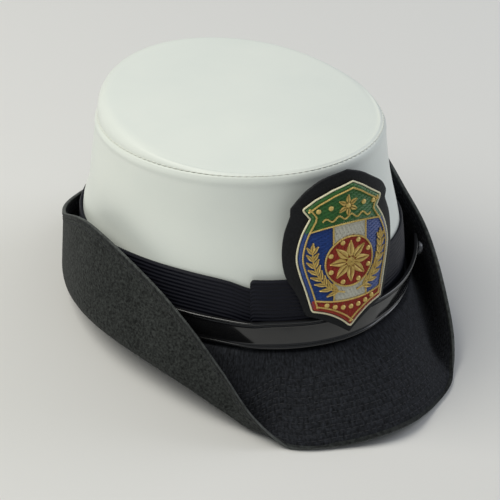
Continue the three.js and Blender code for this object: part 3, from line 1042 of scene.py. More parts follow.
def crownStitches():
    # one row of topstitching down in the rim seam
    fine = np.linspace(-180, 180, 1441)
    power = crown["edgePower"]
    climb = crown["stitchUp"] / (edgeCurve(np.abs(fine))[:, 0] + crown["tuck"])
    inset = crown["edgeInset"] + crown["edgeWidth"] * (1 - (1 - climb**power) ** (1 / power))
    path = panelPoints(fine, inset - 0.1, climb, 0)
    above = panelPoints(fine, inset - 1.1, climb, -0.6) - path  # out and up from the seam
    row = stitchRow(path, above, crown["stitch"], crown["stitchPitch"], 0)
    points, faces = threadMesh(*row, crown["thread"], crown["stitchArch"])
    makePiece("crownStitches", stand(points), faces, [whiteSewing])


crownSide()
crownTop()
crownStitches()
print("crown made")

# Ribbon round the foot of the crown
ribbon = {
    "rows": [  # angle, lap, top
        (-38.5, 1, 41),
        (-15, 1, 41.5),
        (10, 0, 41.5),
        (60, 0, 37.5),
        (110, 0, 32),
        (180, 0, 30),
        (250, 0, 32.5),
        (280, 0, 38),
        (300, 0, 39.5),
        (314, 0, 38.2),
        (322, 0, 35),
        (340, 0, 35),
    ],
    "seat": 0.6,
    "wall": 1.0,
    "ribs": 11,
    "ribDepth": 0.5,
    "ribShow": 0.4,  # mm of rib that stays up under the strap and the hand
    "ribZone": 24,
    "ribPoints": 8,
    "columns": 300,
    "corner": 1.6,  # mm of rounding at the ribbon's cut end
    "reach": 84,  # mm, the radius that turns angles into lengths there
    "selvedge": 1.3,  # the top rib is this much heavier
    "soft": 0.09,  # mm of waver along the ribs
}
ribbonCurve = tableCurve(ribbon["rows"], True)
lapLift = ribbon["wall"] + ribbon["ribDepth"] + hat["gap"]


def ribbedBand():
    angles = np.linspace(ribbon["rows"][0][0], ribbon["rows"][-1][0], ribbon["columns"])
    closer = angles[0] + np.array([0, 0.25, 0.7])  # for the rounded corner at the cut end
    angles = np.concatenate([closer, angles[1:]])
    lap, top = ribbonCurve(angles).T
    fromEnd = np.radians(angles - angles[0]) * ribbon["reach"]
    top = top - ribbon["corner"] * np.clip(1 - fromEnd / ribbon["corner"], 0, 1) ** 2
    share = np.arange(ribbon["ribs"] * ribbon["ribPoints"] + 1) / ribbon["ribPoints"]
    swell = np.sin(math.pi * share) ** 2 * ribbon["ribShow"]
    swell[-ribbon["ribPoints"] : -1] *= ribbon["selvedge"]
    ribUp = share / ribbon["ribs"] * ribbon["ribZone"]
    plain = np.linspace(0, 1, 7)[:-1]
    foot = hat["gap"] + plain[None] * (top[:, None] - ribbon["ribZone"] - hat["gap"])
    ups = np.concatenate([foot, top[:, None] - ribbon["ribZone"] + ribUp[None]], axis=1)
    depth = np.concatenate([plain * 0, swell])
    inner = ribbon["seat"] + lap[:, None] * lapLift
    soft = ribbon["soft"] * np.sin(np.radians(angles)[:, None] * 23 + ups * 0.12)
    outer = crownPoints(angles[:, None], inner + ribbon["wall"] + depth[None] + soft, ups)
    back = crownPoints(angles[:, None], inner + 0 * ups, ups)
    grid = np.concatenate([outer, back[:, ::-1]], axis=1)
    uv = sweptLengths(grid, False)
    sweptPiece("ribbedBand", stand(grid), [blackRibbon], ["band"], False, uv=uv)


ribbedBand()
print("band made")

# Patent strap and its two buttons
strap = {
    "rows": [  # angle, how far the lower edge rides out, how much further the upper edge does
        (-72, -0.4, 1.4),
        (-48, -0.3, 1.8),
        (-40, 1.4, 1.6),
        (-36.5, 1.8, 1.3),
        (-33.5, 1.9, 0),
        (-15, 1.9, 0),
        (-6, 1.7, 0),
        (4, 0.8, 0.7),
        (12, -0.5, 2.4),
        (20, -0.7, 3.2),
        (30, -0.7, 3.7),
        (38, -0.3, 4),
        (46, 0.5, 4.4),
        (52, 1.5, 4.5),
        (60, 3.2, 4.6),
    ],
    "foot": 1.9,
    "height": 16.2,
    "skin": 1.5,
    "bead": 0.6,
    "tip": 7,
    "tipShare": 0.35,
    "columns": 280,
    "faceRows": 11,
    "faceInset": 3.8,  # mm from the edge to the plain face
    "waver": 0.05,  # mm of slow waves in the face
    "crease": (1.75, 0.16, 0.8),  # mm in from the edge, mm wide, share of dulling
    "backDull": 0.6,
    "edge": [  # mm in, share of the bead's rise: a rolled bead, a crease and a lesser bead
        (0, 0.0),
        (0.15, 0.5),
        (0.5, 0.92),
        (0.9, 1.0),
        (1.3, 0.85),
        (1.6, 0.3),
        (1.75, 0.1),
        (1.95, 0.35),
        (2.3, 0.55),
        (2.7, 0.3),
        (3.0, 0.0),
        (3.4, 0.0),
    ],
    "crown": 0.25,  # mm that the face stands out in the middle
}
strapCurve = tableCurve(strap["rows"], True)
strapInner = ribbon["seat"] + ribbon["wall"] + ribbon["ribDepth"] + hat["gap"]
strapOuter = strapInner + strap["skin"] + strap["bead"]


def patentStrap():
    first, last = strap["rows"][0][0], strap["rows"][-1][0]
    turn = np.linspace(0, 1, strap["columns"])
    turn = turn - 0.06 * np.sin(2 * math.pi * turn) / math.pi  # closer at the tips
    angles = first + (last - first) * turn
    edges = np.array(strap["edge"])
    half = strap["height"] / 2
    plain = half - strap["faceInset"]
    face = np.linspace(-plain, plain, strap["faceRows"])
    ups = np.concatenate([edges[:, 0] - half, face, half - edges[::-1, 0]])
    rises = np.concatenate([edges[:, 1], face * 0, edges[::-1, 1]]) * strap["bead"]
    rises = rises + strap["crown"] * np.clip(1 - (ups / (half - edges[-1, 0])) ** 2, 0, 1)
    fromTip = np.radians(np.minimum(angles - first, last - angles)) * hat["rows"][0][2]
    inTip = np.clip(fromTip / strap["tip"], 0, 1)
    share = np.maximum(np.sqrt(1 - (1 - inTip) ** 2), strap["tipShare"])[:, None]
    waver = strap["waver"] * np.sin(angles[:, None] * 0.9 + ups[None] * 0.15)
    waver = waver * np.clip(1 - np.abs(ups) / half, 0, 1)
    heights = strap["foot"] + half + ups[None] * share
    lower, further = strapCurve(angles)[:, None].transpose(2, 0, 1)
    standOff = lower + further * (heights - strap["foot"]) / strap["height"]
    out = strapInner + strap["skin"] + rises[None] + standOff + waver
    outer = crownPoints(angles[:, None], out, heights)
    back = crownPoints(angles[:, None], strapInner + standOff + 0 * heights, heights)
    grid = np.concatenate([outer, back[:, ::-1]], axis=1)
    inFrom, wide, most = strap["crease"]
    crease = np.exp(-(((half - np.abs(ups) - inFrom) / wide) ** 2)) * most
    wearAndHighlight = np.broadcast_to(np.concatenate([crease, crease * 0 + strap["backDull"]]), grid.shape[:2])
    uv = sweptLengths(grid, False)
    sweptPiece(
        "patentStrap", stand(grid), [blackPatent, blackEdge], ["chin_strap"],
        False, lambda k: 0 if k < len(ups) - 1 else 1, wearAndHighlight, uv,
    )


button = {
    "radius": 4.2,
    "rise": 3.6,
    "seat": 0.6,
    "up": 10.2,  # mm from the strap's lower edge to the middle of the button
    "sides": 48,
    "outline": [  # share of the radius, share of the rise: washer, rolled rim, groove and dome
        (0, -0.09),
        (0.6, -0.09),
        (0.62, 0),
        (0.85, 0),
        (0.95, 0.05),
        (1, 0.16),
        (0.99, 0.27),
        (0.94, 0.34),
        (0.9, 0.36),
        (0.88, 0.4),
        (0.87, 0.5),
        (0.8, 0.68),
        (0.66, 0.84),
        (0.46, 0.94),
        (0.22, 0.99),
        (0, 1),
    ],
}


def strapButton(name, node, angle):
    lower, further = strapCurve(np.array(angle))
    seat = strapOuter + lower + further * button["up"] / strap["height"] + button["seat"]
    middle = strap["foot"] + button["up"]
    foot = crownPoints(np.array(angle), seat, np.array(middle))
    outward = crownPoints(np.array(angle), seat + 1, np.array(middle)) - foot
    outward = unit(outward - np.array([0, 0, further / strap["height"]]))
    aside = unit(np.cross([0, 0, 1], outward))
    upward = np.cross(outward, aside)
    outline = np.array(button["outline"]) * [button["radius"], button["rise"]]
    turn = np.radians(np.linspace(0, 360, button["sides"], endpoint=False))
    spokes = np.cos(turn)[:, None] * aside + np.sin(turn)[:, None] * upward
    grid = foot + spokes[:, None] * outline[:, :1] + outward * outline[:, 1:]
    faces = gridFaces(len(grid), len(outline), True, False)[0].tolist()
    makePiece(name, stand(grid), faces, [greyResin], [node], sharp=55)


patentStrap()
strapButton("leftButton", "strap_button_left", -65)
strapButton("rightButton", "strap_button_right", 53)
print("strap and buttons made")

# Brim in one piece: peak in front, turned up at the sides and the back
brim = {
    "rows": [  # angle, fold out, fold width, fold up, edge out, edge up
        (0, 19, 0, -20.5, 37, -40.5),
        (15, 19, 0, -24, 32.5, -43.3),
        (27, 21, 0, -38, 31, -43),
        (36, 20.5, 1.5, -46, 27.5, -27),
        (45, 20, 4, -38, 20, -3.5),
        (56, 17.5, 5.5, -29, 13, 18),
        (70, 15, 6, -22.5, 7, 34),
        (95, 14, 6, -17, 8, 50),
        (125, 10.5, 6.5, -19.5, 7.5, 30),
        (155, 10.5, 7.5, -20.6, 6.5, 16.5),
        (180, 10.8, 7.5, -20.8, 6, 16),
    ],
    "root": 4,
    "wall": 2,
    "ease": 16,
    "rootShare": 0.85,
    "upperRows": 110,
    "underRows": 56,
    "level": 1.4,  # mm of cloth where the brim lies on the table
    "edgeWall": 1,  # mm of cloth left at the pressed edge
    "pressed": 7,  # mm from the edge that are pressed thinner
    "seamFirst": 4.6,  # mm from the edge to the first row of stitching
    "seamPitch": 3.4,
    "seamLast": 40,
    "seamDepth": 0.4,
    "quilt": (1.5, 2, 4),  # mm from the edge to its start, to its full depth, past the last row
    "drawn": 0.15,  # mm that the stitching draws the whole face down
    "edgeRub": (3.5, 0.7),  # mm from the edge that are rubbed, and how much
    "foldRub": (4, 0.1),  # mm over the table, and how much
    "stitch": 2.7,
    "stitchPitch": 3.7,
    "stitchJitter": 0.2,
    "stitchArch": 0.16,
    "thread": 0.27,
}
binding = {
    "width": 2.3,
    "seat": 0.15,  # mm between the cloth and the tape
    "skin": 0.55,  # mm from the cloth to the outside of the tape
    "hem": 2.7,  # mm of the cloth kept straight under the tape
    "clear": 1,  # mm more before the brim may curve
    "hemSkin": 0.1,  # mm of tape at its hems
    "hemRise": 0.7,  # mm over which it thickens from there
    "rub": 0.35,  # mm of the fold that carry the painted highlight
}
brimCurve = tableCurve(brim["rows"], True)
corner = np.concatenate([np.linspace(0, 60, 121), np.linspace(60, 180, 111)[1:]])
brimAngles = np.concatenate([-corner[1:][::-1], corner[:-1]])


def brimOutline(row):
    # underside of one section, from inside the crown over the fold to the edge
    foldOut, foldWidth, foldUp, edgeOut, edgeUp = row
    level = -hat["gap"] - brim["wall"]
    root, edge = np.array([0, level]), np.array([edgeOut, edgeUp])
    fold, turnIn = np.array([foldOut, foldUp]), np.array([foldOut - foldWidth, foldUp])
    reach, run = np.linalg.norm(turnIn - root), np.linalg.norm(fold - edge)
    start = turnIn + (root - turnIn) * min(brim["ease"], brim["rootShare"] * reach) / reach
    finish = fold + (edge - fold) * min(brim["ease"], run - binding["hem"] - binding["clear"]) / run
    t = np.linspace(0, 1, 40)[:, None]
    pullIn, pullOut = start + (turnIn - start) * 2 / 3, finish + (fold - finish) * 2 / 3
    turn = (1 - t) ** 3 * start + 3 * (1 - t) ** 2 * t * pullIn
    turn = turn + 3 * (1 - t) * t**2 * pullOut + t**3 * finish
    return np.vstack([[-brim["root"] - hat["wall"], level], root, turn, edge])


brimOutlines = [brimOutline(row) for row in brimCurve(np.abs(brimAngles))]


def onBrim(points):
    # section points, out from the brim's root and up, set round the foot of the crown and stood up
    foot = np.array(hat["rows"][0][1:])
    return stand(ovalPoints(foot, brimAngles[:, None], brim["root"] + points[..., 0], points[..., 1]))


def brimFace(rows, offset):
    # one face of the brim as a grid, offset above the underside, with its distance from the edge
    flat = np.stack([resample(outline, rows) for outline in brimOutlines])
    along = unit(np.gradient(flat, axis=1))
    normal = np.stack([-along[..., 1], along[..., 0]], -1)
    steps = np.linalg.norm(np.diff(flat, axis=1), axis=-1)
    far = np.cumsum(steps[:, ::-1], axis=1)[:, ::-1]
    fromEdge = np.concatenate([far, np.zeros((len(flat), 1))], axis=1)
    return onBrim(flat + normal * offset(fromEdge)[..., None]), fromEdge


def underside(fromEdge):
    return 0 * fromEdge


def quilted(fromEdge):
    # upper face of the brim, drawn down along each row of stitching
    phase = (fromEdge - brim["seamFirst"]) / brim["seamPitch"]
    puff = np.abs(np.sin(math.pi * phase)) ** 0.7
    start, rise, end = brim["quilt"]
    rows = np.clip((fromEdge - start) / rise, 0, 1)
    rows = rows * np.clip((brim["seamLast"] + end - fromEdge) / end, 0, 1)
    thick = np.clip(fromEdge / brim["pressed"], 0, 1) ** 0.7
    wall = brim["edgeWall"] + (brim["wall"] - brim["edgeWall"]) * thick
    return wall - brim["drawn"] * np.clip(fromEdge / 3, 0, 1) + brim["seamDepth"] * puff * rows


def clothBrim():
    under, underFrom = brimFace(brim["underRows"], underside)
    upper, upperFrom = brimFace(brim["upperRows"], quilted)
    low, high = (np.where(d < binding["hem"], binding["skin"], 0) for d in (underFrom, upperFrom))
    under[..., 2] = np.maximum(under[..., 2], low)
    upper[..., 2] = np.maximum(upper[..., 2], high + brim["level"])
    grid = np.concatenate([under, upper[:, ::-1]], axis=1)
    half = brim["underRows"]
    (edgeReach, edgeShare), (foldReach, foldShare) = brim["edgeRub"], brim["foldRub"]
    rub = np.exp(-((underFrom / edgeReach) ** 2)) * edgeShare
    rub = rub + np.exp(-((under[..., 2] / foldReach) ** 2)) * foldShare
    wearAndHighlight = np.concatenate([rub, 0 * upperFrom], axis=1)
    around = lengths(np.vstack([grid[:, half], grid[:1, half]])) / 1000
    across = np.concatenate([underFrom, -upperFrom[:, ::-1]], axis=1) / 1000
    across = np.vstack([across, across[:1]])
    across = np.concatenate([across, across[:, :1]], axis=1)
    uv = np.stack([np.broadcast_to(around[:, None], across.shape), across], -1)
    sweptPiece(
        "clothBrim", grid, [greyFelt, navyCloth], ["brim"], True,
        lambda k: 0 if k < half else 1, wearAndHighlight, uv,
    )


def edgeBinding():
    # tape folded over the brim's edge, thick and rounded at the fold and pressed flat at its hems
    flat = np.stack([resample(outline, 60) for outline in brimOutlines])
    edge = flat[:, -1]
    along = unit(flat[:, -1] - flat[:, -3])
    across = np.stack([-along[:, 1], along[:, 0]], -1)
    middle = brim["edgeWall"] / 2
    turn = np.radians(np.linspace(-90, 90, 17))
    skin, seat, width = binding["skin"], binding["seat"], binding["width"]
    hemSkin, hemRise = binding["hemSkin"], binding["hemRise"]
    run = np.linspace(-width, -0.25, 6)
    grown = np.clip((run + width) / hemRise, 0, 1) ** 0.5
    rise = middle + seat + hemSkin + (skin - seat - hemSkin) * grown
    outer = np.concatenate([
        np.stack([run, -rise], -1),
        np.stack([skin * np.cos(turn), (middle + skin) * np.sin(turn)], -1),
        np.stack([run[::-1], rise[::-1]], -1),
    ])
    inner = np.concatenate([
        np.stack([run, 0 * run - middle - seat], -1),
        np.stack([seat * np.cos(turn), (middle + seat) * np.sin(turn)], -1),
        np.stack([run[::-1], 0 * run + middle + seat], -1),
    ])
    profile = np.concatenate([outer, inner[::-1]])
    points = edge[:, None] + along[:, None] * profile[None, :, :1]
    points = points + across[:, None] * (profile[None, :, 1:] + middle)
    grid = onBrim(points)
    share = np.clip((profile[:, 1] + middle + skin) / (2 * (middle + skin)), 0, 1)
    grid[..., 2] = np.maximum(grid[..., 2], share * (brim["level"] + 2 * skin))
    uv = sweptLengths(grid, True)
    # painted highlight: the tape is coloured paler across its rounded fold, where light would catch
    # it
    rubAndHighlight = np.exp(-(((profile[:, 0] - skin) / binding["rub"]) ** 2))
    wearAndHighlight = np.broadcast_to(rubAndHighlight, grid.shape[:2])
    sweptPiece(
        "edgeBinding", grid, [edgeTape], ["brim_binding"], True, wearAndHighlight=wearAndHighlight, uv=uv
    )


def brimStitches():
    # rows of stitching on the upper face, and the first row again on the underside
    def sewnRow(rows, offset, distance, side):
        face, fromEdge = brimFace(rows, offset)
        above = brimFace(rows, lambda d: offset(d) + side)[0] - face
        atDistance = lambda line, far: [np.interp(distance, far[::-1], c[::-1]) for c in line.T]
        path, up = (np.stack([*map(atDistance, grid, fromEdge)]) for grid in (face, above))
        path[:, 2] = np.maximum(path[:, 2], 0.4 if side < 0 else brim["level"])
        path, up = np.vstack([path, path[:1]]), np.vstack([up, up[:1]])
        return stitchRow(path, up, brim["stitch"], brim["stitchPitch"], brim["stitchJitter"])

    distances = np.arange(brim["seamFirst"], brim["seamLast"] + 0.1, brim["seamPitch"])
    rows = [sewnRow(brim["upperRows"], quilted, distance, 1) for distance in distances]
    rows.append(sewnRow(brim["underRows"], underside, brim["seamFirst"], -1))
    starts, ends, ups = (np.vstack(part) for part in zip(*rows))
    points, faces = threadMesh(starts, ends, ups, brim["thread"], brim["stitchArch"])
    points[:, 2] = np.maximum(points[:, 2], 0.05)  # no thread below the table
    makePiece("brimStitches", points, faces, [darkSewing])


clothBrim()
edgeBinding()
brimStitches()
print("brim made")

# Badge: curved backing, embroidered shield, gilt cord
badge = {
    "front": 108.8,  # mm in front of the crown's middle
    "foot": 8,
    "turn": -5.6,  # degrees round the crown
    "lean": 7,  # degrees back
    "tilt": 3,  # degrees to one side
    "radius": 57,  # mm of the plates' curve
    "fieldFoot": 6,  # mm from the backing's foot to the shield's
    # height, half width, shift of the middle, because the hand-cut shape isn't quite even
    "backing": [
        (0.8, 0, 0.4),
        (7, 9, 0),
        (11.6, 18.6, 0.2),
        (13.4, 24.6, 0.6),
        (26, 29.6, 0.8),
        (36, 34.6, 0.4),
        (46, 36, 0),
        (60, 34.4, -0.5),
        (70.5, 30, -1.5),
        (74.6, 30.8, -0.7),
        (80.5, 26, -0.7),
        (85.5, 19.4, -2.2),
        (91, 9.2, -2),
        (93.3, 0, 0),
    ],
    "field": [
        (0, 0, 0),
        (5.2, 5.9, 0),
        (9.8, 14.7, 0),
        (11.2, 20.4, 0.2),
        (23.4, 23.6, 0.2),
        (32.9, 26.3, 0.1),
        (41, 27.7, 0.1),
        (53.4, 24.5, -0.6),
        (63.3, 18.8, -1.6),
        (68.3, 22.4, -1.7),
        (72.7, 15.9, -2.2),
        (76.8, 8.6, -0.9),
        (80, 0, 1.9),
    ],
    "backingWall": 2,
    "backingEdge": 0.9,  # mm of rounding
    "backingSides": 160,
    "backingMiddle": (0, 46),
    "fieldBack": 2.45,
    "fieldWall": 0.85,
    "fieldEdge": 0.4,
    "fieldSides": 200,
    "fieldMiddle": (0, 42),
    "plateRings": 12,
    "rimOut": 0.8,  # mm from the shield's outline to the middle of its cord
    "rimRadius": 0.56,
    "rimPitch": 3.0,
}


def badgePoints(across, out, height):
    # points of the badge: across is measured round its curve, out from the backing's back face
    bend = np.asarray(across) / badge["radius"]
    radius = badge["radius"] + np.asarray(out)
    x, y = np.sin(bend) * radius, badge["radius"] - np.cos(bend) * radius
    local = np.stack(np.broadcast_arrays(x, y, height), -1)
    lean = Matrix.Rotation(math.radians(-badge["lean"]), 3, "X")
    tilt = Matrix.Rotation(math.radians(badge["tilt"]), 3, "Y")
    local = local @ np.array(lean @ tilt).T + np.array([0, -badge["front"], badge["foot"]])
    return local @ np.array(Matrix.Rotation(math.radians(badge["turn"]), 3, "Z")).T


def fieldPoints(across, out, height):
    return badgePoints(across, out, np.asarray(height) + badge["fieldFoot"])


def onField(flat, out):
    # flat points of the shield, across and height, laid at one level
    return fieldPoints(flat[:, 0], np.full(len(flat), out), flat[:, 1])


def outlineRows(rows, flanks):
    # fine outline rows: smooth flanks between pairs of rows, straight lines elsewhere
    fine = np.array(rows, float)
    for first, last in flanks[::-1]:
        flank = tableCurve(rows[first : last + 1], False)
        heights = np.linspace(rows[first][0], rows[last][0], 40)
        smooth = np.column_stack([heights, flank(heights)])
        fine = np.vstack([fine[:first], smooth, fine[last + 1 :]])
    return fine


backingRows = outlineRows(badge["backing"], [(0, 3), (3, 8), (9, 13)])
shieldRows = outlineRows(badge["field"], [(0, 3), (3, 8)])


def closedOutline(rows, count):
    # evenly spaced points round a plate's outline
    heights, half, shift = rows.T
    right = np.column_stack([shift + half, heights])
    left = np.column_stack([shift - half, heights])[1:-1][::-1]
    return resample(np.vstack([right, left, right[:1]]), count + 1)[:-1]


def curvedPlate(rows, count, back, front, edge, middle, pointsAt):
    # plate with a rounded edge
    # rings go from the middle of its face out over the edge and in to the middle of its back
    outline = closedOutline(rows, count)
    reach = np.linalg.norm(outline - middle, axis=1).mean()
    lip = np.radians(np.linspace(0, 90, 5))
    inward = edge / reach
    thick = (front - back) / 2
    rings = badge["plateRings"]
    rounded = 1 - inward + inward * np.sin(lip[1:])
    shares = np.concatenate([np.linspace(0, 1 - inward, rings), rounded])
    outs = np.concatenate([np.full(rings, front), front - thick * (1 - np.cos(lip[1:]))])
    shares = np.concatenate([shares, shares[::-1][1:]])
    outs = np.concatenate([outs, (back + front) - outs[::-1][1:]])
    flat = middle + (outline - middle)[:, None] * shares[None, :, None]
    grid = pointsAt(flat[..., 0], outs[None], flat[..., 1])
    faces = gridFaces(count, len(shares), True, False)[0].tolist()
    return grid, faces


def badgeBacking():
    grid, faces = curvedPlate(
        backingRows, badge["backingSides"], 0, badge["backingWall"], badge["backingEdge"],
        np.array(badge["backingMiddle"]), badgePoints,
    )
    makePiece("badgeBacking", stand(grid), faces, [blackBoard], ["badge_backing"])


# Shield in a made-up pattern: a banded ground, a roundel with a rosette, leaf sprays and beads
shield = {
    "chief": 58.5,  # height of the line under the top band
    "base": 14.6,  # height of the line over the foot
    "head": -1.3,  # shift of the motifs in the top band
    "pale": 9.5,  # half width of the middle band
    "roundel": (0, 36.6, 14),
    "stitch": 5.2,
    "pitch": 0.72,  # mm, real threads are about 0.4 apart and would not show
    "thread": 0.4,
    "arch": 0.1,
    "over": 0.12,  # mm from the plate to the middle of a thread
    "uneven": 0.12,  # mm either way that a stitch may end early or late
    "shortest": 0.8,  # mm, narrower places get no stitch
    "middle": 41,  # height that the rows of stitches are laid from
    "reach": 75,  # mm either way that they could run
    "green": ("4c8a45", "2c5f2f"),
    "white": ("e8e6d8", "c4c2b2"),
    "blue": ("2a52a4", "18356f"),
    "red": ("c8452f", "8c291d"),
    "slopes": (0.0, 90.0, 0.0, 45.0),  # direction of the thread in each colour, degrees
    "bow": 0.006,  # how much the lines of the bands bow
    "margin": 0.35,  # mm of plate left bare along the outline
}
colourNames = ("green", "white", "blue", "red")
rayonThreads = [
    spunThread("spunRayon" + name.capitalize(), *shield[name], 0.38, 0.15) for name in colourNames
]
chiefAt = lambda across: shield["chief"] - across**2 * shield["bow"]
baseAt = lambda across: shield["base"] + across**2 * shield["bow"]


def edgeAt(height, side):
    # how far across the shield's outline is at a height, on one side
    return np.interp(height, shieldRows[:, 0], shieldRows[:, 2] + side * shieldRows[:, 1])


def shieldEdge(count):
    # the shield's outline and its outward directions
    outline = closedOutline(shieldRows, count)
    along = unit(np.roll(outline, -1, 0) - np.roll(outline, 1, 0))
    return outline, np.stack([along[:, 1], -along[:, 0]], -1)


def regionOf(across, height):
    # which thread covers a point of the shield: green, white, blue, red, or none
    x0, h0, r0 = shield["roundel"]
    bare = shield["margin"]
    inside = (across < edgeAt(height, 1) - bare) & (across > edgeAt(height, -1) + bare)
    inRoundel = np.hypot(across - x0, height - h0) < r0
    region = np.where(np.abs(across) < shield["pale"], 1, 2)
    region = np.where(height > chiefAt(across), 0, region)
    region = np.where(height < baseAt(across), 3, region)
    region = np.where(inRoundel, 3, region)
    return np.where(inside, region, -1)


def fillStitches():
    # ground of the shield: rows of laid stitches, each row broken at other places than the last
    parts = []
    step, level = shield["stitch"], badge["fieldBack"] + badge["fieldWall"] + shield["over"]
    reach, middle, uneven = shield["reach"], shield["middle"], shield["uneven"]
    along = np.arange(-reach, reach, 0.2)
    for region, slope in enumerate(shield["slopes"]):
        c, s = math.cos(math.radians(slope)), math.sin(math.radians(slope))
        turned = lambda place, offset: (place * c - offset * s, middle + place * s + offset * c)
        starts, ends = [], []
        for row, offset in enumerate(np.arange(-reach, reach, shield["pitch"])):
            covered = regionOf(*turned(along, offset)) == region
            cuts = np.flatnonzero(np.diff(np.concatenate([[0], covered.astype(int), [0]])))
            for first, last in zip(cuts[::2], cuts[1::2]):
                low, high = along[first], along[last - 1]
                if high - low < shield["shortest"]:
                    continue
                third = row % 3
                earliest = math.ceil((low + 1) / step - third / 3)
                breaks = np.arange(earliest, 40) * step + third * step / 3
                breaks = breaks[(breaks > low + 1) & (breaks < high - 1)]
                stops = np.concatenate([[low], breaks, [high]])
                stops = stops + chance.uniform(-uneven, uneven, len(stops))
                starts += [turned(place, offset) for place in stops[:-1]]
                ends += [turned(place, offset) for place in stops[1:]]
        starts, ends = np.array(starts), np.array(ends)
        half = (starts + ends) / 2
        up = onField(half, level + 1) - onField(half, level)
        low, high = onField(starts, level), onField(ends, level)
        parts.append((region, threadMesh(low, high, up, shield["thread"], shield["arch"])))
    return parts


def embroideredField():
    sides, rings = badge["fieldSides"], badge["plateRings"]
    middle, back = np.array(badge["fieldMiddle"]), badge["fieldBack"]
    plate = curvedPlate(
        shieldRows, sides, back, back + badge["fieldWall"], badge["fieldEdge"], middle, fieldPoints
    )
    points, faces, kinds = joined([(2, plate), *fillStitches()])
    # the plate under the threads takes the colour of the threads over it
    outline = closedOutline(shieldRows, sides)
    flat = middle + (outline - middle)[:, None] * np.linspace(0, 0.95, rings)[None, :, None]
    over = np.maximum(regionOf(flat[..., 0] - 0.2, flat[..., 1]), 0)
    count = len(plate[1])
    around, ring = np.divmod(np.arange(count), count // sides)
    kinds[:count] = over[around, np.minimum(ring, rings - 1)].tolist()
    makePiece(
        "embroideredField", stand(points), faces, rayonThreads, ["badge_field"],
        kinds=kinds,
    )


goldwork = {
    "level": 3.75,  # mm out from the backing's back face, just over the ground threads
    "pitch": 0.62,
    "thread": 0.34,
    "arch": 0.45,
    "cord": 0.55,
    "cordPitch": 2.4,
    "leaf": (6.8, 2.5),  # length, width
    "leafLean": 0.62,  # radians either side of the stem
    "leafTaper": 0.25,  # share of its length that the last pair loses
    "leafTip": 0.8,  # length of the leaf at the tip, as a share of a whole one
    "leafy": 0.97,  # share of the stem that carries leaves
    "pairs": 8,  # of leaves on a stem
    "stem": [(3.5, 19.5), (10.5, 22), (16.5, 28.5), (19.8, 37), (20.6, 47.5)],  # across, height
    "stemLength": 33.0,
    "rosette": (8, 2.4, 9.4, 4.8),  # petals, root from the middle, length, width
    "flower": (6, 1.3, 4.8, 2.8),  # the same for the small flower in the top band
    "flowerUp": 68.2,
    "border": 2.3,  # mm from the shield's outline to the thin cord inside it
    "lines": ((chiefAt, 55.6), (baseAt, 17)),  # cords along the bands, heights of their ends
    "wave": (14, 62.2, 1.1, 0.9),  # half width, height, swing and turns of the waved cord
    "coil": (3, 0.25, 2.1),  # turns, mm from the middle to its start, mm that it then grows
    "bead": 1.35,
    "beadRise": 0.75,  # share of its radius that a bead stands up
    "beadCoil": 0.06,  # share that its windings swell and dip
    "footLine": (10.5, 0.0165),  # height of the beads along the foot, rise to the sides
    "footBeads": (-13.4, -9, -4.5, 0, 4.5, 9, 13.4),
    "headBeads": ((-16, 67.2), (-9.5, 68.1), (0, 68.2), (9.5, 68.1), (16, 67.2)),
    "ringBeads": (8, 2.0),  # how many, mm in from the roundel's edge
}


def satinLeaf(root, direction, length, width):
    # one leaf or petal: short threads from both edges to a midrib, slanting towards the tip
    count = max(4, int(length / goldwork["pitch"]))
    t = (np.arange(count) + 0.5) / count
    half = width / 2 * np.sin(math.pi * t**0.85)
    c, s = math.cos(direction), math.sin(direction)

    def placed(along, aside):
        return np.stack([root[0] + along * c - aside * s, root[1] + along * s + aside * c], -1)

    starts = [placed(t * length - half * 0.35, side * half) for side in (-1, 1)]
    ends = [placed(t * length + half * 0.25, side * half * 0.04) for side in (-1, 1)]
    return np.vstack(starts), np.vstack(ends)


def stemCurve(side):
    # the stem of one leaf spray as a curve over its length
    stem = np.array(goldwork["stem"]) * [side, 1]
    return tableCurve(np.column_stack([lengths(stem), stem]), False)


def goldLeaves():
    # threads of the rosette, the small flower and the leaves of both sprays
    leaves = []
    for kind, middle, first in (
        ("rosette", shield["roundel"][:2], 0),
        ("flower", (shield["head"], goldwork["flowerUp"]), 0.5),
    ):
        count, root, length, width = goldwork[kind]
        for turn in (np.arange(count) + first) * 2 * math.pi / count:
            start = (middle[0] + root * math.cos(turn), middle[1] + root * math.sin(turn))
            leaves.append(satinLeaf(start, turn, length, width))
    length, width = goldwork["leaf"]
    taper, leafy = goldwork["leafTaper"], goldwork["leafy"]
    total, pairs = goldwork["stemLength"], goldwork["pairs"]
    for side in (-1, 1):
        stem = stemCurve(side)
        for place in np.linspace(0, 1, pairs + 1)[1:]:
            along = place * total * leafy
            here, ahead = stem(along), stem(min(along + 0.5, total))
            heading = math.atan2(*(ahead - here)[::-1])
            for lean in (-goldwork["leafLean"], goldwork["leafLean"]):
                leaves.append(satinLeaf(here, heading + lean, length * (1 - taper * place), width))
        tip = length * goldwork["leafTip"]
        leaves.append(satinLeaf(stem(total), math.pi / 2 + side * 0.05, tip, width))
    return leaves


